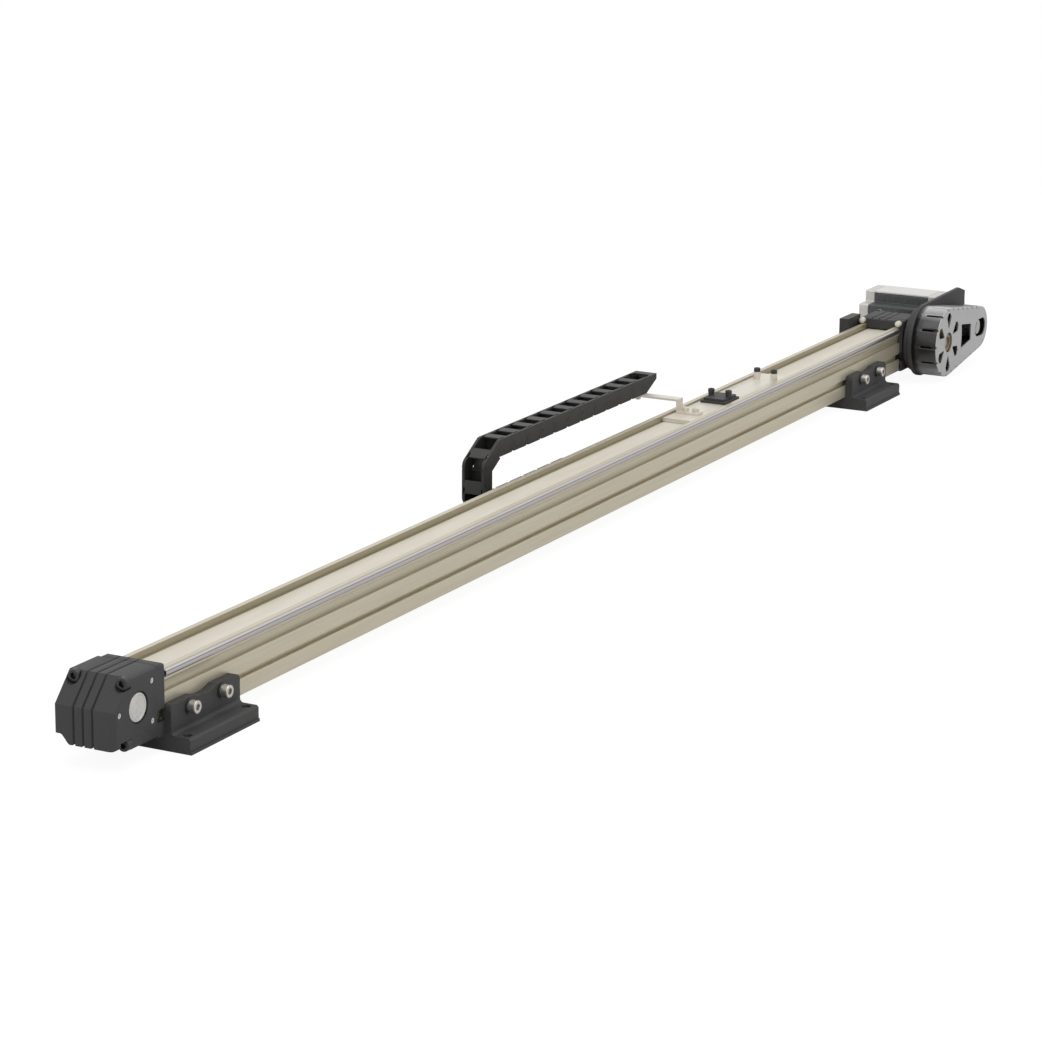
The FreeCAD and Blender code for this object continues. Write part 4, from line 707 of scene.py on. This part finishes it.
print("the area of a box of 2 by 3 is", area(np.array(box_outline(0, 2, 0, 3))))

# %% [markdown]
# An extrusion is one flat section pushed along a line. Its walls are quads, and both its ends are
# sheets with holes, which a tessellator cuts into triangles.

# %% Extrusion helpers
def sheet(loops, along, level):
    """Triangles of a flat sheet between an outer loop and its holes, all turned the same way."""
    flat = np.concatenate(loops)
    triangles = np.array(tessellate_polygon([[Vector((*p, 0)) for p in loop] for loop in loops]))
    a, b, c = flat[triangles].transpose(1, 0, 2)
    wrong = np.cross(b - a, c - a) < 0
    triangles[wrong] = triangles[wrong, ::-1]
    return np.insert(flat, along, level, axis=1), [triangles]


def extruded(outer, holes, along, start_at, end_at):
    """Walls of every loop from start to end, and a sheet with holes at both ends."""
    loops = [outer if area(outer) > 0 else outer[::-1]]
    loops += [h[::-1] if area(h) > 0 else h for h in holes]
    near, [caps] = sheet(loops, along, start_at)
    far = sheet(loops, along, end_at)[0]
    total, first, blocks = len(near), 0, [caps[:, ::-1], caps + len(near)]
    for loop in loops:
        i = first + np.arange(len(loop))
        j = first + (np.arange(len(loop)) + 1) % len(loop)
        blocks.append(np.stack([i, j, j + total, i + total], 1))
        first += len(loop)
    return outward(np.concatenate([near, far]), blocks)


def distinct(line):
    """A line without points that repeat the one before."""
    return line[np.r_[True, np.linalg.norm(np.diff(line, axis=0), axis=1) > 1e-6]]


def arc(centre, radius, first, last, count):
    a = np.radians(np.linspace(first, last, count))
    return np.stack([centre[0] + radius * np.cos(a), centre[1] + radius * np.sin(a)], 1)


print("a quarter arc:", arc((0, 0), 1.0, 0, 90, 3).round(2).tolist())

# %% [markdown]
# The long profile is drawn once as a section with three hollows and pushed along X, just as the
# press does it. The cove is one smooth curve, each guide rod lies in a half-round seat, and every
# outer corner gets a small radius, because a die has no perfectly sharp corner.

# %% Extruded profile
def profile_side():
    """Right half of the section, from the middle of the underside to the belt's bed."""
    low = rounded([(0, 16.0), (28.6, 16.0), (28.6, 32.7), (26.2, 32.7), (26.2, 29.9),
                   (22.8, 29.9), (22.8, 43.5), (26.2, 43.5), (26.2, 40.7), (28.6, 40.7),
                   (28.6, 55.9), (25.2, 55.9)],
                  [0, 1.0, 0.4, 0.3, 0.2, 0.2, 0.2, 0.2, 0.3, 0.4, 0.5, 0.4], 4)
    bow = np.linspace(0, 1, 9)[1:, None]
    foot, pull, tip = np.array([(25.2, 56.3), (25.3, 66.5), (28.6, 68.4)])
    cove = (1 - bow) ** 2 * foot + 2 * bow * (1 - bow) * pull + bow ** 2 * tip
    seat = arc((ROD_Y, ROD_Z), ROD_R + 0.05, 278, 82, 19)
    top = rounded([(28.0, 79.4), (21.6, 79.4), (22.4, 71.2), (20.5, 71.2), (20.5, 69.279),
                   (0, 69.279)], [0.5, 0.5, 0.2, 0.2, 0.2, 0], 4)
    return np.concatenate([low, cove, [(28.6, 69.4), (28.0, 70.3)], seat, top])


right_half = distinct(profile_side())
section = np.concatenate([right_half, right_half[-2:0:-1] * (-1, 1)])
hollows = [rounded(box_outline(-w, w, z0, z1), 1.0, 4)
           for w, z0, z1 in ((20.5, 20.0, 32.72), (20.5, 36.72, 42.92), (16.5, 46.92, 65.28))]
piece("extruded_profile", extruded(section, hollows, 0, START_X, END_X), PROFILE, "track",
      ["track_profile"])

# %% [markdown]
# The idler housing is one casting. Its side outline is carried across, and the three grooves and
# the rounded rims are places where that outline shrinks for a few millimetres.

# %% Idler housing
GROOVES, GROOVE_HALF, GROOVE_DEEP = (-6.5, 4.0, 14.5), 1.7, 2.0
NEAR_Y, FAR_Y, FLANGE_X = -32.0, 36.0, -903.6


def groove_depth(y):
    """Three soft grooves: depth d cos^2 of the distance from a groove's middle over its width."""
    off = np.abs(y[:, None] - np.array(GROOVES)).min(1)
    deep = GROOVE_DEEP * np.cos(off / GROOVE_HALF * math.pi / 2) ** 2
    return np.where(off < GROOVE_HALF, deep, 0.0)


def housing_shell():
    """Outline inset by e(1-sin a) at travel f(1-cos a) at both rims, and by the grooves' depth
    between. The face on the flange stays where it is."""
    outline = np.array([(FLANGE_X, 87.3), (-947.5, 87.3), (-973.0, 59.5), (-973.0, 21.6),
                        (-958.0, 21.6), (-946.0, 16.0), (FLANGE_X, 16.0)])
    a = np.radians(np.linspace(0, 90, 7))
    travel, drawn = 1 - np.cos(a), 1 - np.sin(a)
    span = np.concatenate([m + np.linspace(-GROOVE_HALF, GROOVE_HALF, 15) for m in GROOVES])
    levels = np.concatenate([NEAR_Y + 7.5 * travel, span, (FAR_Y - 3.0 * travel)[::-1]])
    depth = np.concatenate([3.0 * drawn, groove_depth(span), 2.5 * drawn[::-1]])
    rings = np.array([np.insert(inset(outline, d), 1, y, axis=1) for y, d in zip(levels, depth)])
    rings[..., 0] = np.where(outline[:, 0] == FLANGE_X, FLANGE_X, rings[..., 0])
    return loft(rings)


print("depth at a groove's middle and 1 mm off:", groove_depth(np.array([4.0, 5.0])).round(2))

# %% [markdown]
# Screw pockets and bores run in other directions than the outline, so solid cutters take them
# out with an exact Boolean. A curved cutter bites off the lower corner.

# %% Pockets and bores
CAVITY_R, CAVITY_Y, POCKET_R, CAP_RECESS_R = 19.0, 22.8, 7.3, 15.6


def drill(place, axis, length, radius, sides=48):
    return turned([(0, radius), (length, radius)], place, axis, sides)


def lower_notch():
    """A curved bite at the far lower corner: height falls by 9.8 t^2 (3 - 2t) over 11.6 mm."""
    t = np.linspace(0, 1, 13)
    curve = np.stack([30.0 - 11.6 * t, 31.2 - 9.8 * t ** 2 * (3 - 2 * t)], 1)
    rim = np.array([(18.4, 10.0), (40.0, 10.0), (40.0, 31.2)])
    return extruded(np.concatenate([rim, curve]), [], 0, -985.0, -955.0)


def carve(made, shell):
    """Takes a closed shell out of a piece with an exact Boolean, and keeps only the result."""
    cutter = placed("cutter", mesh_of("cutter", shell))
    cut = made.modifiers.new("cut", "BOOLEAN")
    cut.operation, cut.solver, cut.object = "DIFFERENCE", "EXACT", cutter
    seen = made.evaluated_get(bpy.context.evaluated_depsgraph_get())
    spent = (cutter.data, made.data)
    made.data = bpy.data.meshes.new_from_object(seen)
    made.modifiers.clear()
    bpy.data.objects.remove(cutter)
    for mesh in spent:
        bpy.data.meshes.remove(mesh)


holes = [drill((START_X - CORNER_SEAT, y, z), (-1, 0, 0), 44.0 if z > AXIS_Z else 18.5, POCKET_R)
         for y, z in CORNER_PLACES]
holes += [drill((IDLER_X, s * CAP_SEAT_Y, AXIS_Z), (0, s, 0), 8.0, CAP_RECESS_R, 72) for s in SIDES]
holes += [drill((x, s * SIDE_SEAT_Y, z), (0, s, 0), 8.0, 3.1, 24)
          for x, z in IDLER_PLACES for s in SIDES]
bore = drill((IDLER_X, -40.0, AXIS_Z), (0, 1, 0), 80.0, 14.0, 72)
cavity = drill((IDLER_X, -CAVITY_Y, AXIS_Z), (0, 1, 0), 2 * CAVITY_Y, CAVITY_R, 72)
room = extruded(np.array(box_outline(IDLER_X, -900.0, AXIS_Z - CAVITY_R, AXIS_Z + CAVITY_R)), [], 1,
                -CAVITY_Y, CAVITY_Y)
housing = piece("cast_idler_housing", housing_shell(), COATED, "track", ["idler_housing"])
housing.modifiers.clear()
for shell in (join(holes), lower_notch(), bore, cavity, room):
    carve(housing, shell)
housing.data.set_sharp_from_angle(angle=math.radians(32))
soften(housing, 0.5)
print("faces after the cuts:", len(housing.data.polygons))

# %% [markdown]
# The motor is a stepper-like body: a cross-shaped section with its four corners cut away, in
# three lengths. Its caps are cast aluminium, the stack between them is dark laminated steel.

# %% Motor body
def motor_section(low=0.0):
    """Half widths 48 and 42, with 24 by 16 cut from each corner, and every corner rounded."""
    nx, nz, x, z = 24.0, 26.0, 48.0, 42.0
    right = [(nx, -z), (nx, -nz), (x, -nz), (x, nz), (nx, nz), (nx, z - low)]
    left = [(-a, b) for a, b in reversed(right)]
    return rounded([(MOTOR_X + a, AXIS_Z + b) for a, b in right + left], 4 * [2.5, 1.2, 2.5])


FRONT_Y, STACK_Y, REAR_Y = -43.0, -13.0, 69.0
piece("motor_front_casting", plate(motor_section(), 1, FRONT_Y, STACK_Y, 1.0), CAST, "track",
      ["motor_front_flange"])
piece("motor_rear_casting", plate(motor_section(), 1, REAR_Y, 83.5, 1.5), CAST, "track",
      ["motor_rear_cap"])
piece("motor_stack", plate(motor_section(2.5), 1, STACK_Y, REAR_Y, 0.4), LAMINATED, "track",
      ["motor_stator"])
top_outline = rounded(box_outline(MOTOR_X - 24.0, MOTOR_X + 24.0, STACK_Y, REAR_Y), 1.5)
piece("motor_bright_cover", plate(top_outline, 2, 94.6, 97.1, 0.5), BLASTED, "track",
      ["motor_top_cover"])

# %% [markdown]
# The reducer cover is pressed from sheet: a wall round two pulleys, a flat face with windows,
# and narrow vents cut from the face back along the wall. Its outline is a function of the
# distance round it, and so are the places of the vents.

# %% Cover outline, vents and windows
COVER_R, NOSE_R, FACE_Y, BACK_Y = 48.4, 30.2, -85.2, -48.5
VENT_W, VENT_END, VENT_PITCH, VENT_TURN = 3.6, -61.2, 19.0, 28.5
CENTRES = MOTOR_X - DRIVE_X
LEAN = math.acos((COVER_R - NOSE_R) / CENTRES)
STRAIGHT = math.sqrt(CENTRES ** 2 - (COVER_R - NOSE_R) ** 2)
MARKS = np.cumsum([0, COVER_R * (math.pi - LEAN), STRAIGHT, 2 * NOSE_R * LEAN, STRAIGHT,
                   COVER_R * (math.pi - LEAN)])
AROUND = MARKS[-1]


def round_cover(s, drawn_in=0.0):
    """Point at distance s: centre and radius slide from pulley to pulley along the straights."""
    angle = np.interp(s, MARKS, [math.pi, 2 * math.pi - LEAN, 2 * math.pi - LEAN,
                                 2 * math.pi + LEAN, 2 * math.pi + LEAN, 3 * math.pi])
    centre = np.interp(s, MARKS, [DRIVE_X, DRIVE_X, MOTOR_X, MOTOR_X, DRIVE_X, DRIVE_X])
    radius = np.interp(s, MARKS, [COVER_R, COVER_R, NOSE_R, NOSE_R, COVER_R, COVER_R]) - drawn_in
    return np.stack([centre + radius * np.cos(angle), AXIS_Z + radius * np.sin(angle)], 1)


def vent_distances():
    """Seven vents at equal angles round the big pulley, and six at equal steps on each straight."""
    bow = (np.radians(VENT_TURN) * np.arange(-3, 4) * COVER_R) % AROUND
    steps = (np.arange(6) + 0.5) * VENT_PITCH
    return np.concatenate([bow, MARKS[1] + steps, MARKS[4] - steps])


def face_windows():
    """Hub hole, six kites round it, a window between the belts' runs and a slit at the motor."""
    kite = np.array([(11, 3.6), (11, -3.6), (5, -8.2), (-11, -0.8), (-11, 0.8), (5, 8.2)])
    found = [arc((DRIVE_X, AXIS_Z), 14.0, 0, 352.5, 48)]
    for turn in np.radians(90 + 60 * np.arange(6)):
        out = np.array([np.cos(turn), np.sin(turn)])
        spread = (30.5 + kite[:, :1]) * out + kite[:, 1:] * out[::-1] * (-1, 1)
        found.append(rounded(spread + (DRIVE_X, AXIS_Z), 0.8, 4))
    left, right = DRIVE_X + 50.0, DRIVE_X + 88.0
    found.append(rounded([(left, AXIS_Z - 17), (right, AXIS_Z - 11.5), (right, AXIS_Z + 11.5),
                          (left, AXIS_Z + 17), (left + 2.4, AXIS_Z)], [1.5, 1.5, 1.5, 1.5, 8.0], 5))
    ends = [arc((MOTOR_X + s * 8.0, AXIS_Z), 12.5, -90 * s, 180 - 90 * s, 17) for s in SIDES]
    return found + [np.concatenate(ends)]


print("round the cover:", round(AROUND, 1), "mm, with", len(vent_distances()), "vents")

# %% [markdown]
# The wall is a grid over the distance round the cover, and the vents are cells left out of it.
# The face is a flat sheet with the windows cut out. Solidify then gives both their thickness.

# %% Cover wall and face
ROUND, RIM = 1.5, 3.0


def off_vent(s, vents):
    """Distance round the cover from each s to the nearest vent's middle."""
    return np.abs((s[:, None] - vents + AROUND / 2) % AROUND - AROUND / 2).min(1)


def reducer_cover():
    """The wall's grid without the cells of its vents, and the face, whose rim follows them."""
    vents = vent_distances()
    even = np.linspace(0, AROUND, 144, endpoint=False)
    edges = np.concatenate([vents - VENT_W / 2, vents + VENT_W / 2]) % AROUND
    s = np.sort(np.concatenate([even[off_vent(even, vents) > VENT_W / 2 + 0.4], edges]))
    middle = s + (np.roll(s, -1) - s) % AROUND / 2
    starts = off_vent(middle, vents) < VENT_W / 2
    stops = np.roll(starts, 1)
    a = np.radians(np.linspace(0, 90, 5))
    levels = [BACK_Y, VENT_END] + list(FACE_Y + ROUND - ROUND * np.sin(a))
    drawn = [0.0, 0.0] + list(ROUND - ROUND * np.cos(a))
    rings = np.array([np.insert(round_cover(s, d), 1, y, axis=1) for y, d in zip(levels, drawn)])
    solid = np.tile(~starts, (len(rings) - 1, 1))
    solid[0] = True
    wall = cells(*rings.shape[:2])[solid]
    depth = np.stack([np.where(stops, RIM, ROUND), np.where(starts, RIM, ROUND)], 1)
    loop = distinct(round_cover(np.repeat(s, 2), depth.ravel()))
    return join([(rings.reshape(-1, 3), [wall]), sheet([loop] + face_windows(), 1, FACE_Y)])


def welded(made):
    """Joins points that lie on each other and triangles without area to their neighbours, and
    makes all faces point outwards."""
    work = bmesh.new()
    work.from_mesh(made.data)
    bmesh.ops.remove_doubles(work, verts=work.verts, dist=0.001 * MM)
    slivers = [max(face.edges, key=lambda edge: edge.calc_length()) for face in work.faces
               if face.calc_area() < 0.001 * MM ** 2]
    bmesh.ops.dissolve_edges(work, edges=slivers, use_verts=False)
    bmesh.ops.recalc_face_normals(work, faces=work.faces)
    work.to_mesh(made.data)
    work.free()


cover = piece("vented_reducer_cover", reducer_cover(), PAINTED_REFLECTION_LACQUER, "track", ["reducer_cover"])
welded(cover)
# The wall keeps the lacquer with the painted reflection; the flat face gets the plain grey lacquer.
cover.data.materials.append(LACQUER)
polygons = cover.data.polygons
middles = np.zeros(3 * len(polygons))
polygons.foreach_get("center", middles)
level = middles[1::3] / MM
polygons.foreach_set("material_index", (level < FACE_Y + 0.6 * ROUND).astype(np.int32))
polygons.foreach_set("use_smooth", level > FACE_Y + 0.01)
cover.modifiers.clear()
skin = cover.modifiers.new("sheet_thickness", "SOLIDIFY")
skin.thickness, skin.offset = 1.45 * MM, -1.0

# %% [markdown]
# Behind the cover a thin plate joins the motor to the drive housing. It is wider than the cover
# at the top, where the motor's screws sit, and a smaller round boss fills the space behind it.

# %% Reducer plate
PLATE_R, PLATE_NOSE_R, PLATE_TOP = 50.5, 31.6, 52.5


def adapter_outline():
    """Level on top, cut off past the motor, then two arcs and the tangent between them."""
    lean = math.degrees(math.acos((PLATE_R - PLATE_NOSE_R) / CENTRES))
    top, right = AXIS_Z + PLATE_TOP, MOTOR_X + PLATE_NOSE_R
    return np.concatenate([[(right - 22.8, top), (right, top - 7.3)],
                           arc((MOTOR_X, AXIS_Z), PLATE_NOSE_R, 0, -lean, 13),
                           arc((DRIVE_X, AXIS_Z), PLATE_R, -lean, -270, 49)])


boss = turned([(0, 43.5), (0.5, 44.0), (8.2, 44.0), (8.7, 43.5), (8.7, 22.0), (11.2, 22.0)],
              (DRIVE_X, -43.2, AXIS_Z), (0, 1, 0), 96)
web = plate(adapter_outline(), 1, BACK_Y, FRONT_Y, 0.6)
piece("adapter_plate", join([web, boss]), COATED, "track", ["reducer_plate"])

# %% [markdown]
# Each link of the cable chain is moulded nylon: two side plates, which are round where they
# pivot, and two bars across. A link is 35 mm from pivot to pivot, and it is worked out once,
# about its own pivot.

# %% One chain link
PITCH, HALF_H, HALF_W, WALL, PLAY = 35.0, 10.25, 14.5, 1.7, 0.1
TONGUE_END = HALF_H + 1.0 - PITCH


def tongue_outline():
    """A strip with a half circle about the near pivot and a straight end before the far one."""
    return np.concatenate([arc((0, 0), HALF_H, -90, 90, 25),
                           [(TONGUE_END, HALF_H), (TONGUE_END, -HALF_H)]])


def cheek_outline():
    """Round about the far pivot; hollow about the near one, so that it hugs its neighbour's end.
    The inner side is cut straight, which leaves the links room to turn in the bend."""
    far_end = arc((-PITCH, 0), HALF_H, 90, 270, 25)
    hollow = arc((0, 0), HALF_H + 0.15, 215, 107, 17)
    return np.concatenate([far_end, [(-6.5, -HALF_H)], hollow, [(hollow[-1, 0], HALF_H)]])


def link_side():
    """Tongue, cheek, web and pin boss of the near side, at negative Y."""
    split = -HALF_W + WALL
    return join([
        plate(tongue_outline(), 1, split + PLAY, split + PLAY + WALL, 0.35),
        plate(cheek_outline(), 1, -HALF_W, split, 0.12),
        plate(box_outline(TONGUE_END, -HALF_H - 1.0, -HALF_H + 0.4, HALF_H - 0.4), 1,
              split - 0.2, split + PLAY + 0.2, 0.02),
        turned([(0.2, 4.6), (-0.25, 4.4), (-0.3, 4.2), (-0.3, 1.9), (0.1, 1.6), (0.1, 0.3)],
               (-PITCH, -HALF_W, 0), (0, 1, 0), 32),
    ])


def cross_bar(side, x0, x1):
    """A bar across the link between two places, and the foot that joins it to the plates."""
    inner = HALF_W - 2 * WALL - PLAY
    low, high = sorted((side * HALF_H, side * (HALF_H - 2.2)))
    bar = plate(rounded(box_outline(x0, x1, low, high), 0.7, 4), 1, 0.3 - inner, inner - 0.3, 0.3)
    foot = plate(box_outline(TONGUE_END, -17.0, low + 0.1, high - 0.1), 1,
                 -inner - 0.2, inner + 0.2, 0.1)
    return join([bar, foot])


def chain_link():
    side = link_side()
    return join([side, moved(side, flip=1), cross_bar(1, -31.0, -15.0), cross_bar(-1, -34.0, -8.0)])


LINK = chain_link()
print("one link has", len(LINK[0]), "points")

# %% [markdown]
# The link is repeated, eleven times in the upper run, three in the bend and six below. The bend
# travels at half the carriage's speed on a body of its own; the runs beside it ride on no body.

# %% Chain runs and bend
CHAIN_Z, LOWER_Z, PIVOT_X, BEND_X = 105.15, 35.15, 339.0, -46.0
upper = [moved(LINK, (PIVOT_X - i * PITCH, CHAIN_MID_Y, CHAIN_Z)) for i in range(11)]
lower = [moved(LINK, (BEND_X + i * PITCH, CHAIN_MID_Y, LOWER_Z), -180.0) for i in range(6)]


def bend_links():
    """Three links at 30, 90 and 150 degrees, each hung on the last one's pivot."""
    angles = np.array([30.0, 90.0, 150.0])
    steps = -PITCH * np.stack([np.cos(np.radians(angles)), np.sin(np.radians(angles))], 1)
    pivots = np.cumsum(np.concatenate([[(BEND_X, CHAIN_Z)], steps[:2]]), 0)
    return [moved(LINK, (x, CHAIN_MID_Y, z), -a) for (x, z), a in zip(pivots, angles)]


def along_chain(name, links, node):
    """Links as one piece that rides on no body, its place baked into its mesh."""
    made = piece(name, join(links), NYLON, None, [node], sharp=40)
    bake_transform(made)


along_chain("chain_links_above", upper[5:], "chain_upper_run")
along_chain("chain_links_by_the_arm", upper[:5], "chain_upper_run")
along_chain("chain_links_below", lower, "chain_lower_run")
piece("chain_links_in_bend", join(bend_links()), NYLON, "chain_loop", ["chain_bend"], sharp=40)

# %% [markdown]
# A plain floor and soft light. The floor is almost white and glows a little for the camera
# alone, so it meets a white background and still keeps the shadow. One large lamp hangs above,
# and a weaker one fills the shadows from the camera's side.

# %% Floor, world and lamps
def pale_floor():
    material, tree, shader, _ = start("pale_floor", 0.0, 0.9)
    shader.inputs["Base Color"].default_value = linear("#F6F6F6")
    glow = add(tree, "ShaderNodeEmission", {"Strength": 1.08}).outputs[0]
    rays = add(tree, "ShaderNodeLightPath").outputs["Is Camera Ray"]
    share = add(tree, "ShaderNodeMath", {0: rays, 1: 0.86}, operation="MULTIPLY").outputs[0]
    both = add(tree, "ShaderNodeMixShader", {0: share, 1: shader.outputs[0], 2: glow})
    tree.links.new(both.outputs[0], tree.nodes["Material Output"].inputs["Surface"])
    return material


def floor_sheet(half=20.0):
    """A square under the feet, one quad."""
    mesh = bpy.data.meshes.new("floor")
    corners = [(-half, -half, 0), (half, -half, 0), (half, half, 0), (-half, half, 0)]
    mesh.from_pydata(corners, [], [(0, 1, 2, 3)])
    mesh.materials.append(pale_floor())
    floor = placed("floor", mesh)


def white_world(level):
    """White for what the camera sees, mirrored or not, and dimmer as a lamp."""
    world = bpy.data.worlds.new("studio")
    world.use_nodes = True
    tree = world.node_tree
    paths = add(tree, "ShaderNodeLightPath").outputs
    seen = paths["Is Camera Ray"]
    for kind in ("Is Glossy Ray", "Is Transmission Ray"):
        brighter = add(tree, "ShaderNodeMath", {0: seen, 1: paths[kind]}, operation="MAXIMUM")
        seen = brighter.outputs[0]
    strength = add(tree, "ShaderNodeMapRange", {"Value": seen, "To Min": level, "To Max": 1.0})
    back = tree.nodes["Background"]
    back.inputs["Color"].default_value = (1, 1, 1, 1)
    tree.links.new(strength.outputs[0], back.inputs["Strength"])
    bpy.context.scene.world = world


def soft_lamp(name, place, width, height, brightness):
    """A rectangular lamp aimed at the origin. Its watts are pi times its area times the
    brightness of its face."""
    data = bpy.data.lights.new(name, "AREA")
    data.shape, data.size, data.size_y = "RECTANGLE", width, height
    data.energy = math.pi * width * height * brightness
    turn = Vector(place).to_track_quat("Z", "Y").to_matrix().to_4x4()
    placed(name, data).matrix_world = Matrix.Translation(place) @ turn


floor_sheet()
white_world(0.55)
soft_lamp("overhead", (-0.2, -0.4, 3.0), 4.0, 3.0, 1.1)
soft_lamp("fill", (-3.5, -2.5, 1.6), 2.0, 1.5, 0.6)
bpy.context.scene.view_settings.view_transform = "Standard"
print("stage set")
